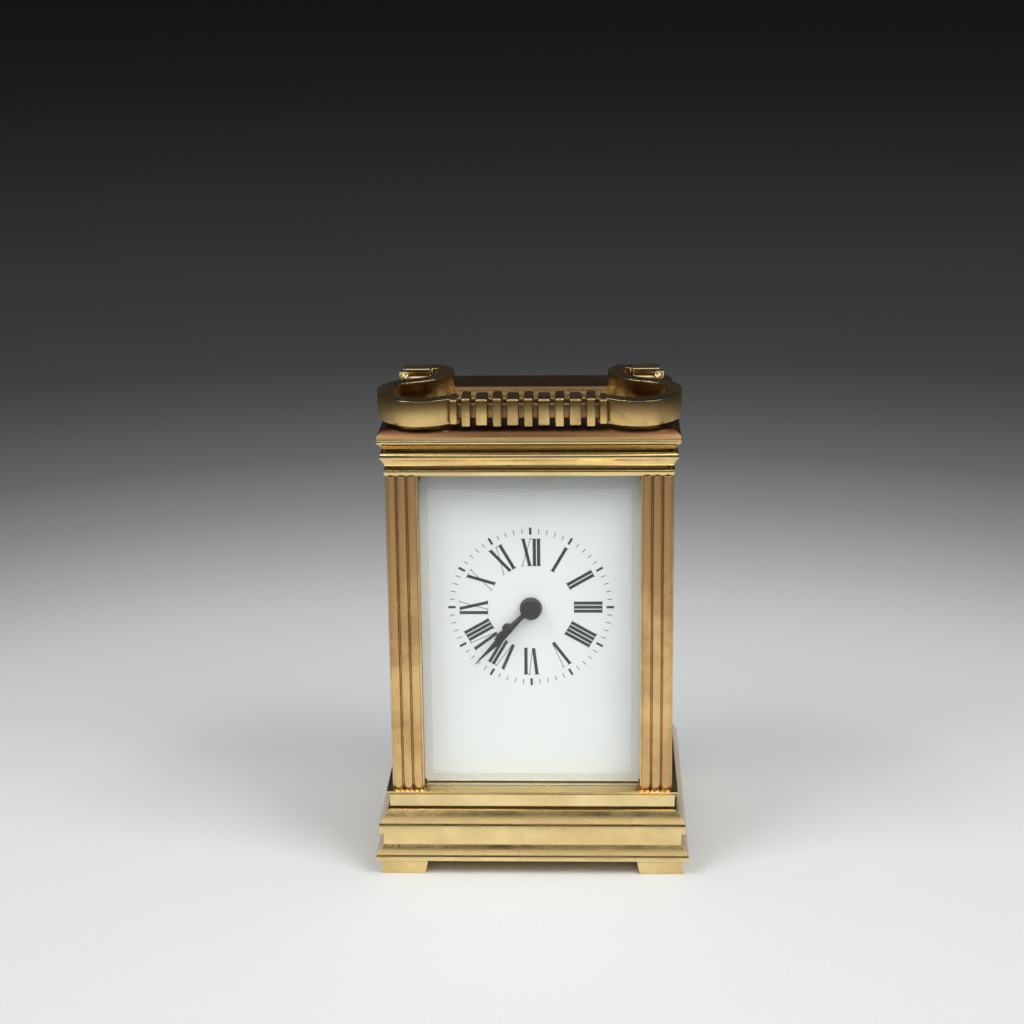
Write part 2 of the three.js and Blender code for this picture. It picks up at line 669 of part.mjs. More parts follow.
// ---- Motion work and hands
function cannonPinion(leafLoop) {
  const tube = turnedY([[1.05, -29.6], [1.5, -29.6], [1.5, -20.9], [1.05, -20.9], [1.05, -29.6]]);
  const leaves = outline(leafLoop);
  leaves.holes.push(roundHole(0, 0, 1.3));
  return join(tube, sheetXZ(leaves, -22.3, -20.9));
}

function minuteWheel(leafLoop) {
  const wheel = outline(wheelLoop(MINUTE_PAIR[0], MINUTE_PAIR[2], 0));
  wheel.holes.push(roundHole(0, 0, 0.75));
  const leaves = outline(leafLoop);
  leaves.holes.push(roundHole(0, 0, 0.75));
  return join(sheetXZ(wheel, -22.1, -21.3), sheetXZ(leaves, -24.1, -22));
}

function hourWheel() {
  const wheel = outline(wheelLoop(HOUR_PAIR[0], HOUR_PAIR[2], 0));
  wheel.holes.push(roundHole(0, 0, 1.9));
  const pipe = turnedY([[1.6, -28.4], [2.2, -28.4], [2.2, -23.1], [1.6, -23.1], [1.6, -28.4]]);
  return join(sheetXZ(wheel, -23.9, -23.1), pipe);
}

function handShape(halfOutline, hubRadius, boreRadius, yFront, yBack) {
  const mirror = halfOutline.map(([half, radius]) => [-half, radius]).reverse();
  const blade = sheetXZ(outline([...halfOutline, ...mirror]), yFront + 0.1, yBack);
  const hub = rodY(hubRadius, yFront, yBack, 0, 0, 20);
  const bore = rodY(boreRadius, yFront - 1, yBack + 1);
  return cut(join(blade, hub), bore);
}

function hourHand() {
  const bulb = [];
  for (let s = 0; s <= 8; s += 1) {
    const angle = -Math.PI / 2 + 0.35 + (Math.PI - 0.7) * s / 8;
    bulb.push([1.6 * Math.cos(angle), 9 + 1.6 * Math.sin(angle)]);
  }
  return handShape([[0.7, 2.6], [0.45, 5], [0.5, 7.2], ...bulb, [0.75, 11.4], [0.6, 12.6], [0.08, 14.2]],
    3.2, 2.25, -28.2, -27.7);
}

function minuteHand() {
  return handShape([[0.5, 2.4], [0.45, 4], [0.85, 8], [1.1, 11], [0.95, 14], [0.55, 18], [0.08, 23]],
    3, 1.55, -29.5, -29);
}

// ---- Platform escapement: heights are measured from the platform's top
function above(height) {
  return PLATFORM_TOP + height;
}

function platform() {
  const shape = outline([[-12, FRONT_PLATE[0]], [12, FRONT_PLATE[0]], [12, 20.4], [-12, 20.4]]);
  shape.holes.push(roundHole(0, ESCAPE_Y, 0.58), roundHole(0, LEVER_Y, 0.48), roundHole(0, BALANCE_Y, 0.38));
  return sheetXY(shape, PLATE_TOP, PLATFORM_TOP);
}

function escapePotence() {
  const leg = box([-2, -10, above(-7.6)], [2, -8.2, PLATE_TOP]);
  const arm = box([-2, -10, above(-7.6)], [2, -3.7, above(-6.4)]);
  return cut(join(leg, arm), rodZ(0.43, above(-8), above(-6), 0, ESCAPE_Y, 12));
}

function escapeBridge() {
  const bar = box([-7.2, -6, above(3.4)], [7.2, 2.3, above(4.4)]);
  const feet = [-6.4, 6.4].map((x) => box([x - 0.8, -3.4, PLATFORM_TOP], [x + 0.8, -0.2, above(3.6)]));
  const bores = [ESCAPE_Y, LEVER_Y].map((y) => rodZ(0.38, above(3), above(5), 0, y, 12));
  return cut(join(bar, ...feet), ...bores);
}

function escapePinion() {
  const steps = [[0.35, above(-7.2)], [0.5, above(-6.2)], [0.3, above(3.2)]];
  const leaves = outline(pinionLoop(ESCAPE_LEAVES, CROWN_MODULE, Math.PI / 2 + Math.PI / ESCAPE_LEAVES));
  const arborRod = turnedZ(rodProfile(steps, above(4.2)), 12);
  return join(arborRod, sheetXY(leaves, above(-5.4), above(-2.4)));
}

function escapeWheel() {
  const points = [];
  for (let i = 0; i < 15; i += 1) {
    const start = i * FULL_TURN / 15;
    points.push([2.6 * Math.cos(start), 2.6 * Math.sin(start)]);
    points.push([3.6 * Math.cos(start + 0.16), 3.6 * Math.sin(start + 0.16)]);
    points.push([3.55 * Math.cos(start + 0.22), 3.55 * Math.sin(start + 0.22)]);
    points.push([2.6 * Math.cos(start + 0.17), 2.6 * Math.sin(start + 0.17)]);
  }
  const shape = outline(points);
  shape.holes.push(roundHole(0, 0, 0.55));
  return sheetXY(shape, above(1.4), above(2));
}

// Pallet arms reach either side of the escape wheel, and the fork reaches towards the balance.
function palletLever() {
  const half = [
    [0.6, -1.1], [2, -1.75], [3.1, -2.9], [3.6, -3.55], [4.1, -3], [3.2, -1.9], [1.2, -0.6], [1.1, 0.4],
    [0.45, 1], [0.45, 3.8], [1, 4.7], [0.5, 5],
  ];
  const mirror = half.map(([x, y]) => [-x, y]).reverse();
  const body = sheetXY(outline([...half, [0, 4.4], ...mirror]), above(1.3), above(2.1));
  const staff = rodProfile([[0.4, above(-1.4)], [0.3, above(3.2)]], above(4.2));
  return join(body, turnedZ(staff, 12));
}

function balanceWheel() {
  const steps = [
    [0.3, above(-1.4)], [0.5, above(0.3)], [1.7, above(2.6)], [0.5, above(3)], [0.3, above(7.2)],
  ];
  const staff = turnedZ(rodProfile(steps, above(8.2)), 12);
  const rim = disc(0, 0, 6.5);
  [0, 1].forEach((i) => {
    const opening = new THREE.Path();
    opening.absarc(0, 0, 5.5, i * Math.PI + 0.14, (i + 1) * Math.PI - 0.14, false);
    opening.lineTo((i ? 1 : -1) * 1.4, (i ? -1 : 1) * 0.75);
    opening.lineTo((i ? -1 : 1) * 1.4, (i ? -1 : 1) * 0.75);
    opening.closePath();
    rim.holes.push(opening);
  });
  return join(staff, sheetXY(rim, above(5), above(5.8), 12));
}

function hairspring() {
  return sheetXY(outline(ribbon(spiral(0.9, 3.8, 4, 14), 0.2)), above(6.1), above(6.5));
}

function balanceCock() {
  const foot = box([-3.5, 15.6, PLATFORM_TOP], [3.5, 20.2, above(7.6)]);
  const arm = new THREE.Shape();
  arm.moveTo(-3.5, 20.2);
  arm.lineTo(-2.6, BALANCE_Y);
  arm.absarc(0, BALANCE_Y, 2.6, Math.PI, FULL_TURN, false);
  arm.lineTo(3.5, 20.2);
  arm.closePath();
  const bore = rodZ(0.38, above(7), above(9), 0, BALANCE_Y, 12);
  return cut(join(foot, sheetXY(arm, above(7.4), above(8.8), 10)), bore);
}

function regulatorIndex() {
  const shape = new THREE.Shape();
  shape.moveTo(0.5, -2.3);
  shape.absarc(0, 0, 2.4, -Math.PI / 2 + 0.22, Math.PI * 1.5 - 0.22, false);
  shape.lineTo(-0.15, -7);
  shape.lineTo(0.15, -7);
  shape.closePath();
  shape.holes.push(roundHole(0, 0, 1.5));
  return sheetXY(shape, above(8.9), above(9.4), 10);
}

// ---- Assembly: case
const pinLength = 6;
const pinInCap = 3.2;
const pinInCornice = 3.2;
const hingeX = DOOR_HALF_X - DOOR_EDGE_RADIUS;
const pinHole = DOOR_PIN_RADIUS + 0.05;
const capPinHole = rodZ(pinHole, CAP_TOP - pinInCap, CAP_TOP + 1, hingeX, DOOR_Y, 12);
const corniceHole = rodZ(pinHole, CORNICE_BOTTOM - 1, CORNICE_BOTTOM + pinInCornice + 0.2, hingeX, DOOR_Y, 12);
add('base_plinth', basePlinth(), brass);
add('base_cap', cut(mitred(CAP_PROFILE, DEPTH_STEP, true), capPinHole), agedBrass);
[['front', -1], ['back', 1]].forEach(([end, signY]) => {
  [['left', -1], ['right', 1]].forEach(([side, signX]) => {
    add(`pillar_${end}_${side}`, pillar(signX, signY), copperyBrass);
  });
});
add('cornice', cut(mitred(CORNICE_PROFILE, DEPTH_STEP, true), corniceHole), brass);
add('top_frame', mitred(TOP_FRAME_PROFILE, DEPTH_STEP, true), copperyBrass);
add('top_glass', pane(TOP_GLASS_HALF, TOP_GLASS_HALF - DEPTH_STEP, BEVEL_WIDTH), glass, [0, 0, TOP_GLASS_Z]);

const paneMiddle = (CAP_TOP + CORNICE_BOTTOM) / 2;
const paneHalfZ = (CORNICE_BOTTOM - CAP_TOP) / 2 - 0.1;
const openingHalfX = PILLAR_OUT - PILLAR_SIZE + GLASS_REBATE;
const openingHalfY = openingHalfX - DEPTH_STEP;
const paneFace = PILLAR_OUT - GLASS_INSET - GLASS_THICKNESS;
const frontPane = pane(openingHalfX, paneHalfZ, BEVEL_WIDTH).rotateX(Math.PI / 2);
add('front_glass', frontPane, glass, [0, DEPTH_STEP - paneFace, paneMiddle]);
[['left', -1], ['right', 1]].forEach(([side, sign]) => {
  const sidePane = pane(openingHalfY, paneHalfZ, BEVEL_WIDTH).rotateX(Math.PI / 2).rotateZ(sign * Math.PI / 2);
  add(`side_glass_${side}`, sidePane, glass, [sign * paneFace, 0, paneMiddle]);
  add(`handle_lug_${side}`, handleLug(sign), agedBrass);
  add(`handle_screw_${side}`, handleScrew(sign), agedBrass);
});
add('handle', handle(), agedBrass);

// ---- Assembly: rear door
add('rear_door', rearDoor(), brass);
const doorPane = pane(DOOR_HALF_X - DOOR_BAR + DOOR_SLOT_DEPTH - 0.1,
  (DOOR_TOP - DOOR_BOTTOM) / 2 - DOOR_BAR + DOOR_SLOT_DEPTH - 0.1, BEVEL_WIDTH);
doorPane.rotateX(Math.PI / 2).rotateZ(Math.PI);
add('rear_glass', doorPane, glass, [0, DOOR_Y - GLASS_EDGE / 2, (DOOR_TOP + DOOR_BOTTOM) / 2]);
const knobSteps = [[0.7, -1.4], [1.1, DOOR_EDGE_RADIUS + 0.05], [2.1, 3.2], [2.3, 3.8], [1.9, 4.6]];
const knobProfile = rodProfile(knobSteps, 5);
add('door_knob', turnedY(knobProfile), brass, [-hingeX, DOOR_Y, KNOB_Z]);
const doorPin = rodZ(DOOR_PIN_RADIUS, 0, pinLength, 0, 0, 12);
const topPinZ = CORNICE_BOTTOM + pinInCornice - pinLength;
add('door_pin_bottom', doorPin, steel, [hingeX, DOOR_Y, CAP_TOP - pinInCap]);
add('door_pin_top', doorPin.clone(), steel, [hingeX, DOOR_Y, topPinZ]);

// ---- Assembly: movement frame and dial
add('front_plate', frontPlate(), brass);
add('back_plate', backPlate(), brass);
PILLARS_AT.forEach(([x, z], i) => add(`movement_pillar_${i + 1}`, movementPillar(), brass, [x, 0, z]));
add('dial', dial(), enamel);

// ---- Assembly: going train
const barrelHeading = headingFrom(BARREL_AT, INTERMEDIATE_AT);
const centreHeading = headingFrom(INTERMEDIATE_AT, CENTRE_AT);
const thirdHeading = headingFrom(CENTRE_AT, THIRD_AT);
const contrateHeading = headingFrom(THIRD_AT, CONTRATE_AT);
const inPlane = ([x, z]) => [x, 0, z];
add('barrel', barrel(), brass, inPlane(BARREL_AT));
add('barrel_cover', barrelCover(), brass, inPlane(BARREL_AT));
add('mainspring', mainspring(), steel, inPlane(BARREL_AT));
add('barrel_arbor', barrelArbor(), steel, inPlane(BARREL_AT));
add('ratchet_wheel', ratchetWheel(), brass, inPlane(BARREL_AT));
add('click', click(), steel, inPlane(BARREL_AT));
add('click_spring', clickSpring(), steel);
const intermediatePinion = arbor(1, meshingLeaves(GREAT_PAIR, barrelHeading), 4.4, 7.6);
add('intermediate_pinion', intermediatePinion, steel, inPlane(INTERMEDIATE_AT));
const intermediateWheel = sheetXZ(spokedWheel(INTERMEDIATE_PAIR, 1.05), 9.6, 11);
add('intermediate_wheel', intermediateWheel, brass, inPlane(INTERMEDIATE_AT));
add('centre_pinion', centrePinion(meshingLeaves(INTERMEDIATE_PAIR, centreHeading)), steel, inPlane(CENTRE_AT));
add('centre_wheel', sheetXZ(spokedWheel(CENTRE_PAIR, 1.95), -10, -8.8), brass, inPlane(CENTRE_AT));
const thirdPinion = arbor(0.8, meshingLeaves(CENTRE_PAIR, thirdHeading), -11.5, -7.5);
add('third_pinion', thirdPinion, steel, inPlane(THIRD_AT));
add('third_wheel', sheetXZ(spokedWheel(THIRD_PAIR, 0.85), 8, 9.1), brass, inPlane(THIRD_AT));
const contratePinion = arbor(0.7, meshingLeaves(THIRD_PAIR, contrateHeading), 7, 10);
add('contrate_pinion', contratePinion, steel, inPlane(CONTRATE_AT));
add('contrate_wheel', contrateWheel(), brass, inPlane(CONTRATE_AT));

// ---- Assembly: motion work and hands
const minuteHeading = headingFrom(CENTRE_AT, MINUTE_WHEEL_AT);
add('centre_arbor', centreArbor(), steel, inPlane(CENTRE_AT));
const cannonLeaves = meshingLeaves(MINUTE_PAIR, minuteHeading + Math.PI);
add('cannon_pinion', cannonPinion(cannonLeaves), steel, inPlane(CENTRE_AT));
add('minute_wheel', minuteWheel(meshingLeaves(HOUR_PAIR, minuteHeading)), brass, inPlane(MINUTE_WHEEL_AT));
add('hour_wheel', hourWheel(), brass, inPlane(CENTRE_AT));
add('hour_hand', hourHand(), darkSteel, inPlane(CENTRE_AT)).rotation.y = HOUR_HAND_ANGLE;
add('minute_hand', minuteHand(), darkSteel, inPlane(CENTRE_AT)).rotation.y = MINUTE_HAND_ANGLE;

// ---- Assembly: platform escapement
add('platform', platform(), brass);
add('escape_potence', escapePotence(), brass);
add('escape_bridge', escapeBridge(), brass);
add('escape_pinion', escapePinion(), steel, [0, ESCAPE_Y, 0]);
add('escape_wheel', escapeWheel(), steel, [0, ESCAPE_Y, 0]);
add('pallet_lever', palletLever(), steel, [0, LEVER_Y, 0]);
add('balance_wheel', balanceWheel(), brass, [0, BALANCE_Y, 0]);
add('hairspring', hairspring(), darkSteel, [0, BALANCE_Y, 0]);
add('balance_cock', balanceCock(), brass);
add('regulator_index', regulatorIndex(), steel, [0, BALANCE_Y, 0]);

export default clock;
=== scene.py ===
import json
import math

import bmesh
import bpy
from mathutils import Matrix, Vector


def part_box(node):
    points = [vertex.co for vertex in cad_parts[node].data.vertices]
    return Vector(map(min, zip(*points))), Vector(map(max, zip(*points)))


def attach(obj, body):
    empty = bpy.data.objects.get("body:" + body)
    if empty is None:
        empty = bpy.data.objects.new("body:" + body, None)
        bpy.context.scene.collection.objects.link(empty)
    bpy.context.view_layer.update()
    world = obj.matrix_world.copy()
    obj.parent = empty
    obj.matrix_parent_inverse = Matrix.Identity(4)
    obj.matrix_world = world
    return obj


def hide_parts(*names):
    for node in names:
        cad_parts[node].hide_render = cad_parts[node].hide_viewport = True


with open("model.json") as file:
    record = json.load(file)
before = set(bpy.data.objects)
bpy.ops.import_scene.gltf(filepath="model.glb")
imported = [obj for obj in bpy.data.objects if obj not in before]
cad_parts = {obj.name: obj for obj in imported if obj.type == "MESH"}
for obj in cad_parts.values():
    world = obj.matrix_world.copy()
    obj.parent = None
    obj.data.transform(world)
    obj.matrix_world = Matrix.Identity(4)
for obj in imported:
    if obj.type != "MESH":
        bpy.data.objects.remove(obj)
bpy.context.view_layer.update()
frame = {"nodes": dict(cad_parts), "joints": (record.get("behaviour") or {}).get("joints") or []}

# Looks of the brass carriage clock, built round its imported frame. Shapes are drawn in millimetres
# and brought to metres when a piece is finished.
MM = 0.001
NODES = frame["nodes"]
JOINT_AT = {j["name"]: Vector(j["pos_m"]) / MM for j in frame["joints"]}


def span(node):
    low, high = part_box(node)
    return low / MM, high / MM


# ---- Camera and studio ------------------------------------------------------------------------
# Places are in metres here, and the lens and its sensor in millimetres.
CAMERA_AT = Vector((0.0180, -0.6396, 0.2796))
PITCH = math.radians(15.857)
YAW = math.radians(-2.158)
ROLL = math.radians(-0.682)
LENS = 79.72
SENSOR = 36
NEAREST_SEEN = 0.01


def place_camera():
    ahead = Vector((math.sin(YAW) * math.cos(PITCH), math.cos(YAW) * math.cos(PITCH), -math.sin(PITCH)))
    right = Vector((math.cos(YAW), -math.sin(YAW), 0))
    up = right.cross(ahead)
    right, up = (
        math.cos(ROLL) * right + math.sin(ROLL) * up,
        math.cos(ROLL) * up - math.sin(ROLL) * right,
    )
    lens = bpy.data.cameras.new("camera")
    lens.lens = LENS
    lens.sensor_width = SENSOR
    lens.clip_start = NEAREST_SEEN
    camera = bpy.data.objects.new("camera", lens)
    bpy.context.scene.collection.objects.link(camera)
    turned = Matrix((right, up, -ahead)).transposed().to_4x4()
    turned.translation = CAMERA_AT
    camera.matrix_world = turned
    bpy.context.scene.camera = camera


LAMPS_AIM_AT = Vector((0, 0, 0.06))
# Each softbox: its place, its width and height, and its watts.
SOFTBOXES = {
    "left_softbox": ((-0.8, -0.6, 1.15), (0.8, 0.8), 10.5),
    "right_softbox": ((0.8, -0.6, 1.15), (0.8, 0.8), 12.5),
    "front_softbox": ((0.0, -1.7, 1.0), (1.6, 0.9), 4.5),
    "top_softbox": ((0.0, 0.1, 1.6), (1.2, 1.2), 4.5),
}


def softbox(name, at, size, watts):
    lamp = bpy.data.lights.new(name, "AREA")
    lamp.shape = "RECTANGLE"
    lamp.size, lamp.size_y = size
    lamp.energy = watts
    holder = bpy.data.objects.new(name, lamp)
    holder.location = at
    holder.rotation_euler = (LAMPS_AIM_AT - Vector(at)).to_track_quat("-Z", "Y").to_euler()
    bpy.context.scene.collection.objects.link(holder)


# ---- Node helpers -----------------------------------------------------------------------------
def node(tree, kind, inputs=None, **settings):
    made = tree.nodes.new(kind)
    for key, value in settings.items():
        setattr(made, key, value)
    for key, value in (inputs or {}).items():
        if isinstance(value, bpy.types.NodeSocket):
            tree.links.new(value, made.inputs[key])
        else:
            made.inputs[key].default_value = value
    return made


def maths(tree, operation, a, b=0.0, clamp=False):
    return node(tree, "ShaderNodeMath", {0: a, 1: b}, operation=operation, use_clamp=clamp).outputs[0]


def ramped(tree, value, low, high, to_low=0.0, to_high=1.0, smooth=True):
    kind = "SMOOTHSTEP" if smooth else "LINEAR"
    return node(tree, "ShaderNodeMapRange", {
        "Value": value, "From Min": low, "From Max": high, "To Min": to_low, "To Max": to_high,
    }, interpolation_type=kind).outputs[0]


def blended(tree, factor, a, b, how="MIX"):
    return node(tree, "ShaderNodeMix", {0: factor, 6: a, 7: b}, data_type="RGBA", blend_type=how).outputs[2]


def new_group(name, inputs, outputs):
    tree = bpy.data.node_groups.new(name, "ShaderNodeTree")
    for label, kind, value in inputs:
        socket = tree.interface.new_socket(label, in_out="INPUT", socket_type=kind)
        socket.default_value = value
    for label, kind in outputs:
        tree.interface.new_socket(label, in_out="OUTPUT", socket_type=kind)
    return tree, tree.nodes.new("NodeGroupInput").outputs, tree.nodes.new("NodeGroupOutput").inputs


def use(tree, group, **values):
    made = tree.nodes.new("ShaderNodeGroup")
    made.node_tree = group
    for key, value in values.items():
        socket = made.inputs[key.replace("_", " ").capitalize()]
        if isinstance(value, bpy.types.NodeSocket):
            tree.links.new(value, socket)
        else:
            socket.default_value = value
    return made.outputs


FLOAT = "NodeSocketFloat"


def make_worn_edges():
    """Bright rubbed metal along outer arrises, broken up by a slow noise."""
    tree, given, made = new_group(
        "worn_edges", [("Width", FLOAT, 0.0004), ("Strength", FLOAT, 1.0)], [("Mask", FLOAT)])
    soft = node(tree, "ShaderNodeBevel", {"Radius": given["Width"]}, samples=4).outputs[0]
    plain = node(tree, "ShaderNodeNewGeometry").outputs["Normal"]
    match = node(tree, "ShaderNodeVectorMath", {0: soft, 1: plain}, operation="DOT_PRODUCT").outputs["Value"]
    edge = ramped(tree, match, 0.995, 0.86)
    open_air = node(tree, "ShaderNodeAmbientOcclusion", {"Distance": 0.0012}, samples=4).outputs["AO"]
    outer = maths(tree, "MULTIPLY", edge, ramped(tree, open_air, 0.45, 0.8))
    place = node(tree, "ShaderNodeTexCoord").outputs["Object"]
    patchy = node(tree, "ShaderNodeTexNoise", {"Vector": place, "Scale": 240.0, "Detail": 3.0}).outputs[0]
    rubbed = maths(tree, "MULTIPLY", outer, ramped(tree, patchy, 0.3, 0.6, 0.45, 1.0))
    tree.links.new(maths(tree, "MULTIPLY", rubbed, given["Strength"], True), made["Mask"])
    return tree


def make_crevice_grime_and_shade():
    """Old polish and dirt in grooves and under mouldings, with painted shade: the colour darkens where ambient
    occlusion finds hollows and overhangs, as shade falls there.
    """
    tree, given, made = new_group(
        "crevice_grime_and_shade", [("Reach", FLOAT, 0.002), ("Strength", FLOAT, 1.0)], [("Mask", FLOAT)])
    shut = node(tree, "ShaderNodeAmbientOcclusion", {"Distance": given["Reach"]}, samples=6).outputs["AO"]
    place = node(tree, "ShaderNodeTexCoord").outputs["Object"]
    uneven = node(tree, "ShaderNodeTexNoise", {"Vector": place, "Scale": 500.0, "Detail": 4.0}).outputs[0]
    held = maths(tree, "ADD", shut, maths(tree, "MULTIPLY", maths(tree, "SUBTRACT", uneven, 0.5), 0.25))
    mask = ramped(tree, held, 0.72, 0.3)
    tree.links.new(maths(tree, "MULTIPLY", mask, given["Strength"], True), made["Mask"])
    return tree


def make_cloudy_patina():
    """Slow clouds of tarnish, stretched a little along the length of the case."""
    tree, given, made = new_group(
        "cloudy_patina", [("Scale", FLOAT, 60.0), ("Contrast", FLOAT, 0.2)], [("Mask", FLOAT)])
    place = node(tree, "ShaderNodeTexCoord").outputs["Object"]
    slow = node(tree, "ShaderNodeTexNoise", {
        "Vector": place, "Scale": given["Scale"], "Detail": 6.0, "Roughness": 0.62, "Distortion": 0.4}).outputs[0]
    low = maths(tree, "SUBTRACT", 0.5, given["Contrast"])
    high = maths(tree, "ADD", 0.5, given["Contrast"])
    tree.links.new(ramped(tree, slow, low, high), made["Mask"])
    return tree


def make_fine_pits():
    """Casting grain: small pits and bright specks, strongest on faces that look up."""
    tree, given, made = new_group(
        "fine_pits", [("Scale", FLOAT, 3000.0), ("Upward", FLOAT, 1.0)],
        [("Height", FLOAT), ("Speck", FLOAT), ("Facing", FLOAT)])
    coords = node(tree, "ShaderNodeTexCoord").outputs
    level = node(tree, "ShaderNodeSeparateXYZ", {0: coords["Normal"]}).outputs[2]
    facing = maths(tree, "MULTIPLY", ramped(tree, level, 0.2, 0.55), given["Upward"])
    fine = node(tree, "ShaderNodeTexNoise", {
        "Vector": coords["Object"], "Scale": given["Scale"], "Detail": 3.0, "Roughness": 0.7}).outputs[0]
    cells = node(tree, "ShaderNodeTexVoronoi", {
        "Vector": coords["Object"], "Scale": maths(tree, "MULTIPLY", given["Scale"], 0.5)}).outputs["Distance"]
    height = maths(tree, "ADD", fine, maths(tree, "MULTIPLY", cells, 0.4))
    plain = maths(tree, "MULTIPLY", height, maths(tree, "ADD", maths(tree, "MULTIPLY", facing, 0.88), 0.12))
    tree.links.new(plain, made["Height"])
    tree.links.new(maths(tree, "MULTIPLY", ramped(tree, fine, 0.58, 0.72), facing), made["Speck"])
    tree.links.new(facing, made["Facing"])
    return tree


WORN_EDGES = make_worn_edges()
CREVICE_GRIME_AND_SHADE = make_crevice_grime_and_shade()
CLOUDY_PATINA = make_cloudy_patina()
FINE_PITS = make_fine_pits()


def blank_material(name):
    material = bpy.data.materials.new(name)
    material.use_nodes = True
    tree = material.node_tree
    tree.nodes.clear()
    surface = tree.nodes.new("ShaderNodeBsdfPrincipled")
    out = tree.nodes.new("ShaderNodeOutputMaterial")
    tree.links.new(surface.outputs[0], out.inputs["Surface"])
    return material, tree, surface


def rgb(red, green, blue):
    return (red, green, blue, 1.0)


# What the metal finishes share, in metres where it is a length.
EDGE_WEAR_WIDTH = 0.00045
EDGE_SOFTENING = 0.00012
DULLING_RISE = (0.05, 0.118)
SLOPE_ROUGHNESS = 0.05
DIRT_ROUGHNESS = 0.3
WEAR_POLISH = 0.08
PIT_STRENGTH = 0.55


def metal_finish(
        name, bright, dull, worn, grime_and_shade, upward_shade=(0.5, 0.37, 0.16), upward_shade_mix=0.75, specks=0.7,
        polish=(0.12, 0.24), clouds=60.0, contrast=0.22, grime_and_shade_reach=0.0016, grime_and_shade_strength=0.8, wear=0.8,
        grain=3000.0, upward=1.0, depth=0.00004, duller_towards_top=0.0):
    """Brass or steel in its several states: clean metal, dull clouds, a darker tone on upward faces as painted
    shade, dirt with painted shade in the grooves, and rubbed edges.
    """
    bright, dull, worn, grime_and_shade, upward_shade = (rgb(*tone) for tone in (bright, dull, worn, grime_and_shade, upward_shade))
    material, tree, surface = blank_material(name)
    patina = use(tree, CLOUDY_PATINA, scale=clouds, contrast=contrast)["Mask"]
    pits = use(tree, FINE_PITS, scale=grain, upward=upward)
    dirt_and_shade = use(tree, CREVICE_GRIME_AND_SHADE, reach=grime_and_shade_reach, strength=grime_and_shade_strength)["Mask"]
    rubbed = use(tree, WORN_EDGES, width=EDGE_WEAR_WIDTH, strength=wear)["Mask"]
    # Higher up, the colour moves further to the dull tone, over a given span of heights.
    if duller_towards_top:
        place = node(tree, "ShaderNodeTexCoord").outputs["Object"]
        height = node(tree, "ShaderNodeSeparateXYZ", {0: place}).outputs[2]
        patina = maths(tree, "ADD", patina, ramped(tree, height, *DULLING_RISE, 0.0, duller_towards_top), True)
    colour = blended(tree, patina, bright, dull)
    # Faces that look up take a darker tone: painted shade, for the dark surroundings they reflect.
    colour = blended(tree, maths(tree, "MULTIPLY", pits["Facing"], upward_shade_mix), colour, upward_shade)
    colour = blended(tree, maths(tree, "MULTIPLY", pits["Speck"], specks), colour, worn)
    # Dirt and painted shade darken the grooves and the undersides of mouldings.
    colour = blended(tree, dirt_and_shade, colour, grime_and_shade)
    colour = blended(tree, rubbed, colour, worn)
    tree.links.new(colour, surface.inputs["Base Color"])
    surface.inputs["Metallic"].default_value = 1.0
    smooth = ramped(tree, patina, 0.0, 1.0, polish[0], polish[1], smooth=False)
    smooth = maths(tree, "ADD", smooth, maths(tree, "MULTIPLY", pits["Facing"], SLOPE_ROUGHNESS))
    smooth = maths(tree, "ADD", smooth, maths(tree, "MULTIPLY", dirt_and_shade, DIRT_ROUGHNESS))
    smooth = maths(tree, "SUBTRACT", smooth, maths(tree, "MULTIPLY", rubbed, WEAR_POLISH), True)
    tree.links.new(smooth, surface.inputs["Roughness"])
    rounded = node(tree, "ShaderNodeBevel", {"Radius": EDGE_SOFTENING}, samples=4).outputs[0]
    bump = node(tree, "ShaderNodeBump", {
        "Strength": PIT_STRENGTH, "Distance": depth, "Height": pits["Height"], "Normal": rounded})
    tree.links.new(bump.outputs[0], surface.inputs["Normal"])
    return material
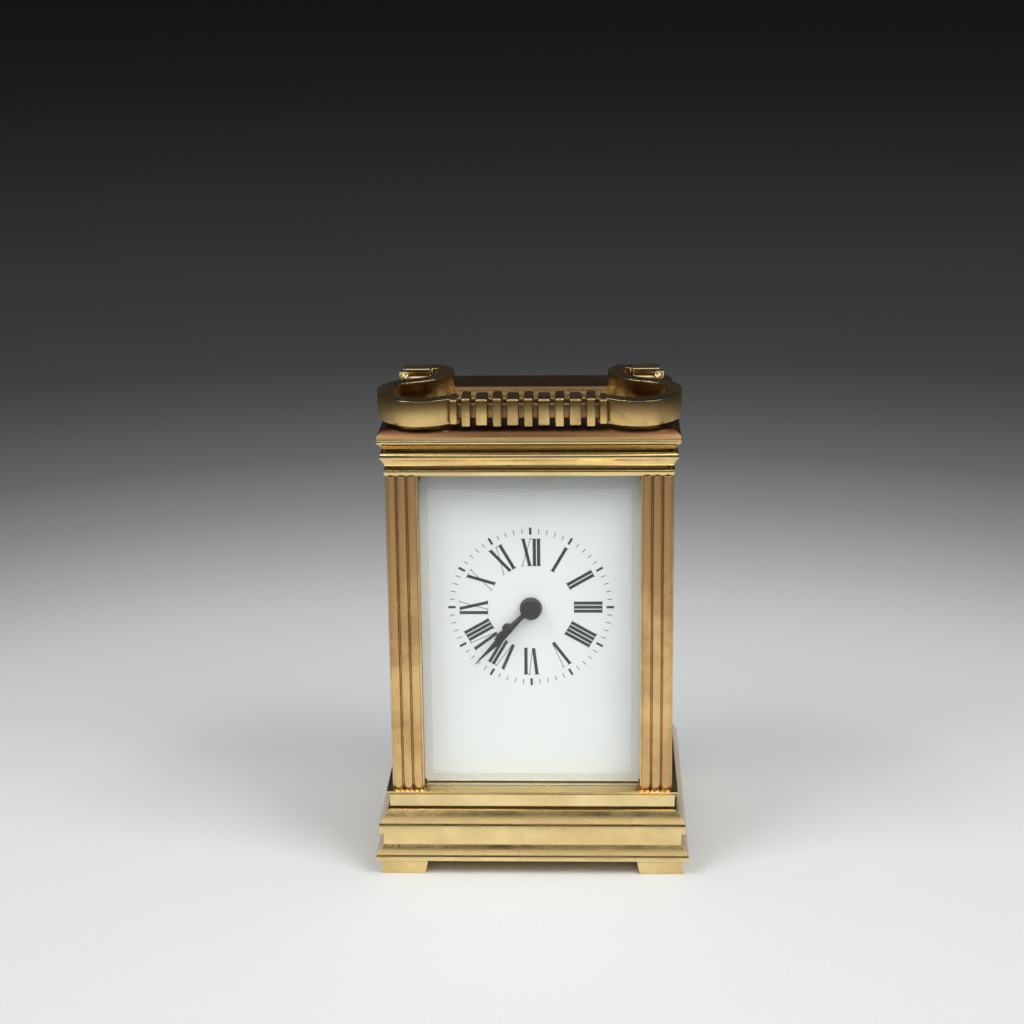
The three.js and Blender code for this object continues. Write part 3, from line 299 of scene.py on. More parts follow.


# Each metal's linear colours, among them the painted shade of upward faces and grooves, then how it is polished,
# worn and soiled.
METALS = {
    "case_brass": dict(
        bright=(0.95, 0.74, 0.35), dull=(0.76, 0.56, 0.25), worn=(1.0, 0.88, 0.56), grime_and_shade=(0.09, 0.05, 0.016),
        upward_shade=(0.6, 0.42, 0.17), grime_and_shade_reach=0.0013, grime_and_shade_strength=1.0),
    "cap_brass": dict(
        bright=(0.95, 0.77, 0.41), dull=(0.78, 0.6, 0.29), worn=(1.0, 0.88, 0.6), grime_and_shade=(0.1, 0.055, 0.02),
        upward_shade=(0.86, 0.62, 0.27)),
    "handle_brass": dict(
        bright=(0.76, 0.53, 0.21), dull=(0.5, 0.32, 0.12), worn=(1.0, 0.86, 0.52), grime_and_shade=(0.09, 0.05, 0.018),
        upward_shade=(0.46, 0.3, 0.14), specks=0.3, polish=(0.16, 0.28), clouds=80.0, contrast=0.14,
        grime_and_shade_reach=0.003, grime_and_shade_strength=1.0, wear=1.0, grain=2400.0, upward=0.7, depth=0.00002),
    "coppery_brass": dict(
        bright=(0.84, 0.57, 0.25), dull=(0.6, 0.36, 0.15), worn=(1.0, 0.8, 0.46), grime_and_shade=(0.1, 0.036, 0.012),
        polish=(0.14, 0.28), clouds=75.0, grime_and_shade_reach=0.0022, grime_and_shade_strength=1.0, upward=0.3, duller_towards_top=0.9),
    # The top's upward face is painted almost black-brown: painted shade, for the dark backdrop it reflects.
    "top_brass": dict(
        bright=(0.86, 0.62, 0.27), dull=(0.66, 0.44, 0.18), worn=(0.96, 0.74, 0.44), grime_and_shade=(0.07, 0.03, 0.012),
        upward_shade=(0.2, 0.1, 0.045), upward_shade_mix=1.0, specks=0.25, polish=(0.24, 0.36), clouds=50.0,
        grime_and_shade_strength=0.95),
    "movement_brass": dict(
        bright=(0.9, 0.68, 0.28), dull=(0.78, 0.58, 0.24), worn=(1.0, 0.85, 0.5), grime_and_shade=(0.2, 0.12, 0.04),
        upward_shade_mix=0.0, specks=0.0, polish=(0.22, 0.3), clouds=45.0, grime_and_shade_strength=0.45, wear=0.5,
        grain=5000.0, upward=0.2, depth=0.00002),
    "steel": dict(
        bright=(0.62, 0.62, 0.63), dull=(0.5, 0.5, 0.51), worn=(0.8, 0.8, 0.8), grime_and_shade=(0.12, 0.1, 0.08),
        upward_shade_mix=0.0, specks=0.0, polish=(0.16, 0.26), clouds=120.0, grime_and_shade_strength=0.4, wear=0.5,
        grain=5000.0, upward=0.1, depth=0.00001),
    "blued_steel": dict(
        bright=(0.03, 0.05, 0.17), dull=(0.045, 0.04, 0.12), worn=(0.2, 0.22, 0.4), grime_and_shade=(0.02, 0.02, 0.03),
        upward_shade_mix=0.0, specks=0.0, polish=(0.14, 0.22), clouds=150.0, wear=0.6, grain=5000.0, upward=0.1,
        depth=0.00001),
    "hand_steel": dict(
        bright=(0.026, 0.021, 0.02), dull=(0.045, 0.032, 0.027), worn=(0.4, 0.35, 0.32),
        grime_and_shade=(0.01, 0.009, 0.008), upward_shade_mix=0.0, specks=0.0, polish=(0.25, 0.38), clouds=300.0, wear=0.8,
        grain=6000.0, upward=0.0, depth=0.00001),
}


def make_materials():
    made = {name: metal_finish(name, **finish) for name, finish in METALS.items()}
    made["enamel"] = make_enamel()
    made["dial_black"] = make_dial_black()
    made["glass"] = make_glass()
    return made


def make_enamel():
    """Fired white enamel: a faint waviness, a slight yellowing and a few specks."""
    material, tree, surface = blank_material("enamel")
    place = node(tree, "ShaderNodeTexCoord").outputs["Object"]
    slow = node(tree, "ShaderNodeTexNoise", {"Vector": place, "Scale": 40.0, "Detail": 3.0}).outputs[0]
    specks = node(tree, "ShaderNodeTexVoronoi", {"Vector": place, "Scale": 130.0}).outputs["Distance"]
    colour = blended(tree, slow, rgb(0.83, 0.845, 0.85), rgb(0.79, 0.805, 0.8))
    colour = blended(tree, ramped(tree, specks, 0.022, 0.012), colour, rgb(0.3, 0.27, 0.22))
    tree.links.new(colour, surface.inputs["Base Color"])
    tree.links.new(ramped(tree, slow, 0.0, 1.0, 0.12, 0.2, smooth=False), surface.inputs["Roughness"])
    ripple = node(tree, "ShaderNodeTexNoise", {"Vector": place, "Scale": 90.0, "Detail": 1.0}).outputs[0]
    bump = node(tree, "ShaderNodeBump", {"Strength": 0.15, "Distance": 0.0001, "Height": ripple})
    tree.links.new(bump.outputs[0], surface.inputs["Normal"])
    surface.inputs["Coat Weight"].default_value = 0.6
    surface.inputs["Coat Roughness"].default_value = 0.04
    return material


def make_dial_black():
    """Fired black dial paint, very slightly uneven."""
    material, tree, surface = blank_material("dial_black")
    place = node(tree, "ShaderNodeTexCoord").outputs["Object"]
    uneven = node(tree, "ShaderNodeTexNoise", {"Vector": place, "Scale": 1500.0, "Detail": 3.0}).outputs[0]
    colour = blended(tree, uneven, rgb(0.004, 0.006, 0.008), rgb(0.016, 0.02, 0.024))
    tree.links.new(colour, surface.inputs["Base Color"])
    tree.links.new(ramped(tree, uneven, 0.3, 0.7, 0.35, 0.5), surface.inputs["Roughness"])
    surface.inputs["Specular IOR Level"].default_value = 0.2
    return material


def make_glass():
    """Clear plate glass with a faint green body; lamps shine through it."""
    material, tree, surface = blank_material("glass")
    place = node(tree, "ShaderNodeTexCoord").outputs["Object"]
    smear = node(tree, "ShaderNodeTexNoise", {"Vector": place, "Scale": 35.0, "Detail": 5.0}).outputs[0]
    clear_body = blended(tree, smear, rgb(0.975, 0.985, 0.98), rgb(0.985, 0.99, 0.985))
    # The bevelled border stands at an angle to the pane; its colour is darkened as painted shade, for the shade
    # at the dial's edges beside the pillars.
    faced = node(tree, "ShaderNodeTexCoord").outputs["Normal"]
    tilt = node(tree, "ShaderNodeVectorMath", {0: faced}, operation="ABSOLUTE").outputs[0]
    sides = node(tree, "ShaderNodeSeparateXYZ", {0: tilt}).outputs
    squarest = maths(tree, "MAXIMUM", maths(tree, "MAXIMUM", sides[0], sides[1]), sides[2])
    bevel = ramped(tree, squarest, 0.993, 0.98)
    tree.links.new(blended(tree, bevel, clear_body, rgb(0.68, 0.71, 0.68)), surface.inputs["Base Color"])
    tree.links.new(ramped(tree, smear, 0.45, 0.75, 0.0, 0.03), surface.inputs["Roughness"])
    surface.inputs["IOR"].default_value = 1.5
    surface.inputs["Transmission Weight"].default_value = 1.0
    clear = node(tree, "ShaderNodeBsdfTransparent", {"Color": rgb(0.95, 0.975, 0.96)})
    shadow = node(tree, "ShaderNodeLightPath").outputs["Is Shadow Ray"]
    both = node(tree, "ShaderNodeMixShader", {0: shadow, 1: surface.outputs[0], 2: clear.outputs[0]})
    out = next(n for n in tree.nodes if n.type == "OUTPUT_MATERIAL")
    tree.links.new(both.outputs[0], out.inputs["Surface"])
    return material


# ---- Stage ------------------------------------------------------------------------------------
# A pool of light painted on pale paper, fading to a painted dark far off: how far each tone lies from the pool's
# middle, in metres, and how pale it is there.
POOL_MIDDLE = (0.0, 0.07, 0.0)
POOL_WIDTH = 0.9
PAINTED_POOL_TONES = [
    (0.0, 0.86), (0.1, 0.86), (0.19, 0.84), (0.287, 0.7), (0.356, 0.52),
    (0.434, 0.34), (0.527, 0.2), (0.64, 0.13), (0.75, 0.09), (0.9, 0.085),
]
PAPER_TINT = (0.985, 1.0, 1.01)
FLOOR_RADIUS = 6.0
FLOOR_SIDES = 96
WORLD_TONE = (0.033, 0.035, 0.038)


def make_floor():
    bm = bmesh.new()
    bmesh.ops.create_circle(bm, cap_ends=True, segments=FLOOR_SIDES, radius=FLOOR_RADIUS)
    mesh = bpy.data.meshes.new("floor")
    bm.to_mesh(mesh)
    bm.free()
    floor = bpy.data.objects.new("floor", mesh)
    bpy.context.scene.collection.objects.link(floor)
    material, tree, surface = blank_material("floor_painted_pool")
    place = node(tree, "ShaderNodeTexCoord").outputs["Object"]
    centred = node(tree, "ShaderNodeVectorMath", {0: place, 1: POOL_MIDDLE}, operation="ADD").outputs[0]
    reach = node(tree, "ShaderNodeVectorMath", {0: centred}, operation="LENGTH").outputs["Value"]
    # The painted pool of light: the paper's colour falls with distance from the middle.
    painted_pool = tree.nodes.new("ShaderNodeValToRGB")
    painted_pool.color_ramp.interpolation = "LINEAR"
    elements = painted_pool.color_ramp.elements
    while len(elements) > 1:
        elements.remove(elements[-1])
    for i, (away, pale) in enumerate(PAINTED_POOL_TONES):
        element = elements[0] if i == 0 else elements.new(away / POOL_WIDTH)
        element.position = away / POOL_WIDTH
        element.color = rgb(*(pale * tint for tint in PAPER_TINT))
    tree.links.new(maths(tree, "DIVIDE", reach, POOL_WIDTH, True), painted_pool.inputs[0])
    grain = node(tree, "ShaderNodeTexNoise", {"Vector": place, "Scale": 900.0, "Detail": 4.0}).outputs[0]
    shade = ramped(tree, grain, 0.3, 0.7, 0.97, 1.0)
    tree.links.new(blended(tree, 1.0, painted_pool.outputs[0], shade, "MULTIPLY"), surface.inputs["Base Color"])
    surface.inputs["Roughness"].default_value = 0.6
    surface.inputs["Specular IOR Level"].default_value = 0.2
    mesh.materials.append(material)


def make_world():
    world = bpy.data.worlds.new("studio")
    world.use_nodes = True
    sky = world.node_tree.nodes["Background"].inputs
    sky["Color"].default_value = rgb(*WORLD_TONE)
    sky["Strength"].default_value = 1.0
    bpy.context.scene.world = world


def light_studio():
    make_floor()
    make_world()
    for name, (at, size, watts) in SOFTBOXES.items():
        softbox(name, at, size, watts)
    bpy.context.scene.view_settings.view_transform = "Standard"


# ---- Mesh helpers -----------------------------------------------------------------------------
def finish_piece(bm, name, material, body, stands_for=(), crease=35):
    bmesh.ops.remove_doubles(bm, verts=bm.verts, dist=1e-4)
    bmesh.ops.recalc_face_normals(bm, faces=bm.faces)
    bmesh.ops.scale(bm, vec=(MM, MM, MM), verts=bm.verts)
    for face in bm.faces:
        face.smooth = True
    for edge in bm.edges:
        edge.smooth = len(edge.link_faces) == 2 and edge.calc_face_angle() < math.radians(crease)
    mesh = bpy.data.meshes.new(name)
    bm.to_mesh(mesh)
    bm.free()
    mesh.materials.append(MATERIAL[material])
    piece = bpy.data.objects.new(name, mesh)
    bpy.context.scene.collection.objects.link(piece)
    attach(piece, body)
    if stands_for:
        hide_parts(*stands_for)
    return piece


def soften_edges(bm, width, steps=2, least=28, edges=None):
    """Round the crisp arrises over to a small radius."""
    crisp = [
        e for e in (edges or bm.edges)
        if len(e.link_faces) == 2 and e.calc_face_angle() > math.radians(least)
    ]
    bmesh.ops.bevel(
        bm, geom=crisp, offset=width, offset_type="OFFSET", segments=steps, profile=0.5,
        affect="EDGES", clamp_overlap=True, material=-1)


def eased(points, steps=5):
    """Fill the spans beside a soft point (marked True) with a smooth curve through it."""
    whole = []
    count = len(points)
    for i, point in enumerate(points):
        here = Vector(point[:2])
        whole.append(tuple(here))
        if i + 1 == count:
            break
        there = Vector(points[i + 1][:2])
        soft_here, soft_there = len(point) > 2, len(points[i + 1]) > 2
        if not (soft_here or soft_there):
            continue
        before = Vector(points[i - 1][:2])
        after = Vector(points[(i + 2) % count][:2])
        leave = (there - before) / 2 if soft_here else there - here
        arrive = (after - here) / 2 if soft_there else there - here
        for s in range(1, steps):
            t = s / steps
            whole.append(tuple(
                here * (2 * t**3 - 3 * t**2 + 1) + leave * (t**3 - 2 * t**2 + t)
                + there * (3 * t**2 - 2 * t**3) + arrive * (t**3 - t**2)))
    return whole


def moulding(profile, half_x, half_y, low):
    """A closed moulding carried round a rectangle with mitred corners. Profile: (inset, rise) points."""
    bm = bmesh.new()
    rings = []
    edges = []
    for inset, rise in eased(profile):
        if not rings:
            ring = [bm.verts.new() for _ in range(4)]
            edges = [bm.edges.new((ring[k], ring[(k + 1) % 4])) for k in range(4)]
        else:
            grown = bmesh.ops.extrude_edge_only(bm, edges=edges)["geom"]
            edges = [g for g in grown if isinstance(g, bmesh.types.BMEdge)]
            ring = [next(e.other_vert(v) for e in v.link_edges if e.other_vert(v) in grown) for v in rings[-1][0]]
        for vert, (sx, sy) in zip(ring, ((-1, -1), (1, -1), (1, 1), (-1, 1))):
            vert.co = (sx * (half_x - inset), sy * (half_y - inset), low + rise)
        rings.append((ring, edges))
    bmesh.ops.bridge_loops(bm, edges=rings[0][1] + rings[-1][1])
    bmesh.ops.recalc_face_normals(bm, faces=bm.faces)
    return bm


def moulding_of(node_name, profile):
    low, high = span(node_name)
    return moulding(profile, high.x, high.y, low.z)


def only_verts(geom):
    return [g for g in geom if isinstance(g, bmesh.types.BMVert)]


AXES = {"X": Vector((1, 0, 0)), "Y": Vector((0, 1, 0)), "Z": Vector((0, 0, 1))}


def prism(bm, outline, axis, start, end):
    """An outline of (a, b) points pushed along an axis from start to end."""
    def at(a, b, level):
        return {"X": (level, a, b), "Y": (a, level, b), "Z": (a, b, level)}[axis]
    verts = [bm.verts.new(at(a, b, start)) for a, b in outline]
    face = bm.faces.new(verts)
    pushed = bmesh.ops.extrude_face_region(bm, geom=[face])["geom"]
    bmesh.ops.translate(bm, vec=AXES[axis] * (end - start), verts=only_verts(pushed))


def block(bm, low, high):
    """A rectangular block between two corners."""
    low, high = Vector(low), Vector(high)
    verts = bmesh.ops.create_cube(bm, size=1.0)["verts"]
    bmesh.ops.scale(bm, vec=high - low, verts=verts)
    bmesh.ops.translate(bm, vec=(low + high) / 2, verts=verts)


def turned(bm, profile, axis, centre, steps=48):
    """A turned solid. Profile: (radius, along) points; the along values are places on the axis."""
    toward = AXES[axis]
    side = AXES["Z" if axis == "X" else "X"]
    centre = Vector(centre)
    base = centre - toward * centre.dot(toward)
    verts = [bm.verts.new(base + side * radius + toward * along) for radius, along in profile]
    edges = [bm.edges.new(pair) for pair in zip(verts, verts[1:])]
    bmesh.ops.spin(bm, geom=verts + edges, cent=base, axis=toward, angle=math.tau, steps=steps, use_merge=True)


def pour(source, into):
    """Moves one mesh under construction into another."""
    carried = bpy.data.meshes.new("carried")
    source.to_mesh(carried)
    source.free()
    into.from_mesh(carried)
    bpy.data.meshes.remove(carried)


def finish_cad(material, names):
    """Gives CAD nodes that keep their shape a finished material."""
    for name in names:
        node_object = NODES[name]
        node_object.data.materials.clear()
        node_object.data.materials.append(MATERIAL[material])


# ---- Case mouldings ---------------------------------------------------------------------------
PLINTH_PROFILE = [
    (7, 15.2), (7, 3.45), (1.8, 3.45), (0, 4.5), (0, 5.7), (0.5, 6.6), (1.0, 7.4), (1.55, 8.15), (2.15, 8.75),
    (2.15, 12.15), (2.7, 12.2), (2.7, 12.45), (0.95, 12.6), (0.9, 14.9), (1.45, 16.0), (2.05, 17.0), (2.7, 17.9),
    (3.4, 18.65), (4.2, 19.2), (14, 19.2), (14, 15.2),
]
CAP_PROFILE = [
    (10.8, 0), (1.5, 0), (1.5, 0.7), (0.9, 0.7), (0.9, 3.2), (0.6, 4.4, True), (0, 5.0, True), (0, 5.4),
    (10.8, 5.4),
]
CORNICE_PROFILE = [
    (11, 0), (2.2, 0), (1.65, 1.1), (1.7, 1.8), (3.6, 1.9), (3.6, 2.9), (2.1, 3.0), (1.75, 3.8), (1.25, 4.7),
    (0.7, 5.35), (0.7, 5.9), (0.85, 6.5), (1.35, 7.0), (3.2, 7.05), (3.2, 7.95), (1.5, 8.0), (1.2, 8.7),
    (0.7, 9.3), (0, 9.8), (0, 10.5),
    (15.7, 10.5), (15.7, 8.2), (17.5, 8.2), (17.5, 6.8), (11, 6.8),
]
TOP_FRAME_PROFILE = [
    (18, 0), (0, 0), (0, 0.5, True), (0.4, 1.5, True), (1.2, 2.4, True), (2.2, 2.9), (17.4, 2.9), (18, 2.3),
]
ARRIS = 0.16
DECK_INSET = 14
DECK_UNDER = 15.2
DECK_TOP = 19.2
FOOT_TOP = 3.45
FOOT_INSET = 1.8
FOOT_RIM = 8
FOOT_GAP_X = 30.2
FOOT_GAP_Y = 24.7
FOOT_SLOPE = 0.8
FOOT_TAPER = 0.4
CLOSE = 0.01


def matches(place, distance):
    """Whether a coordinate lies that distance from the middle, on either side."""
    return abs(abs(place) - distance) < CLOSE


def make_plinth():
    """The moulded base: a ring moulding under a deck, with four bracket feet drawn down from its underside."""
    low, high = span("base_plinth")
    bm = moulding_of("base_plinth", PLINTH_PROFILE)
    deck = Vector((high.x - DECK_INSET, high.y - DECK_INSET))
    loops = [
        [e for e in bm.edges if all(
            matches(v.co.x, deck.x) and matches(v.co.y, deck.y) and matches(v.co.z, low.z + level)
            for v in e.verts)]
        for level in (DECK_TOP, DECK_UNDER)]
    wall = [f for f in bm.faces if all(
        matches(v.co.x, deck.x) and matches(v.co.y, deck.y) for v in f.verts)]
    bmesh.ops.delete(bm, geom=wall, context="FACES_ONLY")
    for loop in loops:
        bmesh.ops.contextual_create(bm, geom=loop)
    for plane, gap, other in (((1, 0, 0), FOOT_GAP_X, 1), ((0, 1, 0), FOOT_GAP_Y, 0)):
        for sign in (-1, 1):
            under = underside(bm, low.z + FOOT_TOP)
            strip = [f for f in under if abs(f.calc_center_median()[other]) > high[other] - FOOT_RIM]
            geom = strip + list({e for f in strip for e in f.edges}) + list({v for f in strip for v in f.verts})
            bmesh.ops.bisect_plane(bm, geom=geom, plane_co=Vector(plane) * gap * sign, plane_no=plane, dist=1e-5)
    feet = [
        f for f in underside(bm, low.z + FOOT_TOP)
        if abs(f.calc_center_median().x) > FOOT_GAP_X and abs(f.calc_center_median().y) > FOOT_GAP_Y]
    grown = bmesh.ops.extrude_face_region(bm, geom=feet)["geom"]
    bmesh.ops.delete(bm, geom=[f for f in feet if f.is_valid], context="FACES_ONLY")
    for vert in only_verts(grown):
        vert.co.z = low.z
        for k, gap in ((0, FOOT_GAP_X), (1, FOOT_GAP_Y)):
            inner, outer = matches(vert.co[k], gap), matches(vert.co[k], high[k] - FOOT_INSET)
            vert.co[k] += math.copysign(FOOT_SLOPE * inner - FOOT_TAPER * outer, vert.co[k])
    bmesh.ops.recalc_face_normals(bm, faces=bm.faces)
    soften_edges(bm, ARRIS)
    finish_piece(bm, "moulded_plinth", "case_brass", "case", ["base_plinth"])


def underside(bm, level):
    return [f for f in bm.faces if all(abs(v.co.z - level) < 1e-4 for v in f.verts)]


def make_mouldings():
    make_plinth()
    for node_name, name, profile, material, slot in (
            ("base_cap", "moulded_cap", CAP_PROFILE, "cap_brass", "aged_brass"),
            ("cornice", "moulded_cornice", CORNICE_PROFILE, "case_brass", "brass"),
            ("top_frame", "moulded_top", TOP_FRAME_PROFILE, "top_brass", "coppery_brass")):
        bm = moulding_of(node_name, profile)
        soften_edges(bm, ARRIS)
        finish_piece(bm, name, material, "case", [node_name])


# ---- Reeded pillars ---------------------------------------------------------------------------
PILLAR_SIZE = 9.2
REED_MARGIN = 0.3
REED_DEPTH = 0.75
REED_STEPS = 8
REED_HALF = 0.46
REED_CLEAR = 0.02
PANE_NEAR = 2.35
PANE_FAR = 4.65
GROOVE_BOTTOM = 7.55


def reeds_across():
    reed = (PILLAR_SIZE - 2 * REED_MARGIN) / 3
    edge = []
    for i in range(3):
        for s in range(REED_STEPS + 1):
            turn = math.pi * s / REED_STEPS
            along = REED_MARGIN + reed * (i + 0.5 - REED_HALF * math.cos(turn))
            edge.append((along, REED_DEPTH * (1 - math.sin(turn)) + REED_CLEAR))
    edge.append((PILLAR_SIZE, REED_DEPTH))
    return edge[1:]


def make_pillars():
    for end, sign_y in (("front", -1), ("back", 1)):
        for side, sign_x in (("left", -1), ("right", 1)):
            name = f"pillar_{end}_{side}"
            low, high = span(name)
            corner = (high.x if sign_x > 0 else low.x, high.y if sign_y > 0 else low.y)
            slot = [
                (PILLAR_SIZE, PANE_NEAR), (GROOVE_BOTTOM, PANE_NEAR), (GROOVE_BOTTOM, PANE_FAR),
                (PILLAR_SIZE, PANE_FAR)]
            turned_slot = [(b, a) for a, b in reversed(slot)]
            turned_reeds = [(b, a) for a, b in reversed(reeds_across())]
            section = [(REED_MARGIN, REED_MARGIN)] + reeds_across() + (slot if sign_y < 0 else [])
            section += [(PILLAR_SIZE, PILLAR_SIZE)] + turned_slot + turned_reeds
            placed = [(corner[0] - sign_x * a, corner[1] - sign_y * b) for a, b in section]
            bm = bmesh.new()
            prism(bm, placed, "Z", low.z, high.z)
            bmesh.ops.recalc_face_normals(bm, faces=bm.faces)
            finish_piece(bm, f"reeded_{name}", "coppery_brass", "case", [name], crease=50)


# ---- Handle -----------------------------------------------------------------------------------
BAND_THICKNESS = 3.9
BAND_HEIGHT = 7.1
GRIP_HALF = 20.4
GRIP_Y = -31.3
GRIP_TAIL = 0.8
GRIP_CORE = 2.2
RIBS_EACH_SIDE = 4
RIB_PITCH = 4.3
# Half the width and half the height of a rib or collar.
NARROW_RIB = (1.3, 4.1)
WIDE_RIB = (1.7, 3.85)
COLLAR = (1.1, 3.6)
COLLAR_AT = 20.6
RIB_BEVEL = 0.55
HANDLE_BEVEL = 0.36
HANDLE_DROOP = math.radians(3.3)
SCROLL = [
    (28.7, 0), (28.4, 0, True), (27.07, -0.2, True), (25.86, -0.79, True), (24.87, -1.7, True),
    (24.2, -2.86, True), (23.89, -4.17, True), (23.95, -5.49, True), (24.4, -6.8, True), (26.6, -10.9, True),
    (29.9, -13.3, True), (34, -14.9, True), (37.6, -17, True), (39.9, -20.2, True), (40.5, -24, True),
    (39.6, -28, True), (37, -31.6, True), (33.4, -33.9, True), (29.6, -34.4, True), (25.6, -33.4, True),
    (22.6, -31.9, True), (19.4, -31.3),
]


def ribbon_outline(line, thickness):
    left, right = [], []
    for i, point in enumerate(line):
        along = (Vector(line[min(i + 1, len(line) - 1)]) - Vector(line[max(i - 1, 0)])).normalized()
        across = Vector((-along.y, along.x)) * thickness / 2
        left.append(Vector(point) + across)
        right.append(Vector(point) - across)
    return left, right


def make_handle():
    pivot = JOINT_AT["handle_fold"]
    low, high = pivot.z - BAND_HEIGHT / 2, pivot.z + BAND_HEIGHT / 2
    bm = bmesh.new()
    line = eased(SCROLL, 4)
    for side in (1, -1):
        left, right = ribbon_outline(line, BAND_THICKNESS)
        pairs = [
            [bm.verts.new((side * p.x, pivot.y + p.y, low)) for p in pair] for pair in zip(left, right)]
        faces = [bm.faces.new((a[0], a[1], b[1], b[0])) for a, b in zip(pairs, pairs[1:])]
        pushed = bmesh.ops.extrude_face_region(bm, geom=faces)["geom"]
        bmesh.ops.translate(bm, vec=(0, 0, high - low), verts=only_verts(pushed))
    bmesh.ops.recalc_face_normals(bm, faces=bm.faces)
    soften_edges(bm, HANDLE_BEVEL, steps=3, least=40)
    grip = bmesh.new()
    bars = [(0, GRIP_HALF + GRIP_TAIL, GRIP_CORE)]
    for i in range(-RIBS_EACH_SIDE, RIBS_EACH_SIDE + 1):
        bars.append((i * RIB_PITCH, *(WIDE_RIB if i % 2 else NARROW_RIB)))
    bars += [(side * COLLAR_AT, *COLLAR) for side in (-1, 1)]
    for at, half_width, half in bars:
        block(
            grip, (at - half_width, GRIP_Y - half, pivot.z - half),
            (at + half_width, GRIP_Y + half, pivot.z + half))
    bmesh.ops.recalc_face_normals(grip, faces=grip.faces)
    soften_edges(grip, RIB_BEVEL, steps=3, least=40)
    pour(grip, bm)
    bmesh.ops.rotate(bm, cent=pivot, matrix=Matrix.Rotation(HANDLE_DROOP, 3, "X"), verts=bm.verts)
    finish_piece(bm, "scrolled_handle", "handle_brass", "handle", ["handle"])


EAR_THICK = 1.6
EAR_HALF = 3.5
EAR_FOOT = 4
EAR_STEPS = 16
CHEEK_HALF = 2.4
CHEEK_DROP = 2
TOP_BAR_HALF = 3.2
TOP_BAR_THICK = 1.7
BOSS_RADIUS = 2.2
BOSS_CHAMFER = 0.2
LUG_LAP = 0.8
LUG_BEVEL = 0.3


def make_lugs():
    """An ear on each side of the top that holds the handle's pivot, with a flat bar over a round boss."""
    pivot = JOINT_AT["handle_fold"]
    for side, sign in (("left", -1), ("right", 1)):
        low, high = span(f"handle_lug_{side}")
        outer = high.x if sign > 0 else low.x
        inner = low.x if sign > 0 else high.x
        bm = bmesh.new()
        ear = [(-EAR_FOOT, low.z), (EAR_FOOT, low.z)]
        for s in range(EAR_STEPS + 1):
            turn = math.pi * s / EAR_STEPS
            ear.append((EAR_HALF * math.cos(turn), pivot.z + EAR_HALF * math.sin(turn)))
        prism(bm, ear, "X", outer - sign * EAR_THICK, outer)
        start, end = sorted((inner + sign, outer - sign * LUG_LAP))
        block(bm, (start, -CHEEK_HALF, low.z), (end, CHEEK_HALF, pivot.z - CHEEK_DROP))
        start, end = sorted((inner, outer))
        block(bm, (start, -TOP_BAR_HALF, high.z - TOP_BAR_THICK), (end, TOP_BAR_HALF, high.z))
        bmesh.ops.recalc_face_normals(bm, faces=bm.faces)
        soften_edges(bm, LUG_BEVEL, steps=2, least=40)
        start, end = sorted((inner, outer - sign * LUG_LAP))
        boss = [
            (0, start), (BOSS_RADIUS - BOSS_CHAMFER, start), (BOSS_RADIUS, start + BOSS_CHAMFER),
            (BOSS_RADIUS, end), (0, end)]
        turned(bm, boss, "X", pivot)
        finish_piece(bm, f"pivot_lug_{side}", "cap_brass", "case", [f"handle_lug_{side}"])


# ---- Dial -------------------------------------------------------------------------------------
TICK_MIDDLE = 22.5
NUMERAL_INNER = 12.3
NUMERAL_OUTER = 20.2
BOLD = 0.92
FINE = 0.17
PRINT_THICK = 0.03
SERIF_REACH = 0.26
SERIF_THICK = 0.17
STROKE_PITCH = 1.2
LEAN = 2.3
LETTER_GAP = 0.85
# Half the width and half the length of a tick.
HOUR_TICK = (0.33, 1.05)
MINUTE_TICK = (0.1, 0.7)
NUMERALS = ["I", "II", "III", "IIII", "V", "VI", "VII", "VIII", "IX", "X", "XI", "XII"]


def printed(bm, centre, face_y, angle, corners):
    """One flat stroke of print. Corners: (across, out from the centre), read with the rim upwards."""
    up = Vector((math.sin(angle), 0, math.cos(angle)))
    right = Vector((math.cos(angle), 0, -math.sin(angle)))
    base = Vector((centre.x, face_y, centre.z))
    verts = [bm.verts.new(base + right * across + up * out) for across, out in corners]
    face = bm.faces.new(verts)
    pushed = bmesh.ops.extrude_face_region(bm, geom=[face])["geom"]
    bmesh.ops.translate(bm, vec=(0, -PRINT_THICK, 0), verts=only_verts(pushed))


def stroke(across_in, across_out, width):
    return [
        (across_in - width / 2, NUMERAL_INNER), (across_in + width / 2, NUMERAL_INNER),
        (across_out + width / 2, NUMERAL_OUTER), (across_out - width / 2, NUMERAL_OUTER)]


def numeral_strokes(letters):
    """Strokes of a Roman numeral as (inner place, outer place, width, has a foot), and where its ends lie."""
    strokes = []
    at = 0.0
    for letter in letters:
        if letter == "I":
            strokes.append((at + BOLD / 2, at + BOLD / 2, BOLD, True))
            at += STROKE_PITCH
        elif letter == "V":
            strokes.append((at + LEAN / 2 + 0.25, at + BOLD / 2, BOLD, False))
            strokes.append((at + LEAN / 2 + 0.55, at + LEAN + 0.3, FINE, False))
            at += LEAN + LETTER_GAP
        else:
            strokes.append((at + LEAN, at + BOLD / 2, BOLD, True))
            strokes.append((at + 0.2, at + LEAN + 0.2, FINE, True))
            at += LEAN + LETTER_GAP
    ends = [place for stroke_ends in strokes for place in stroke_ends[:2]]
    return strokes, ends


def serif(at, width, level):
    reach = width / 2 + SERIF_REACH
    return [(at - reach, level - SERIF_THICK / 2), (at + reach, level - SERIF_THICK / 2),
            (at + reach, level + SERIF_THICK / 2), (at - reach, level + SERIF_THICK / 2)]


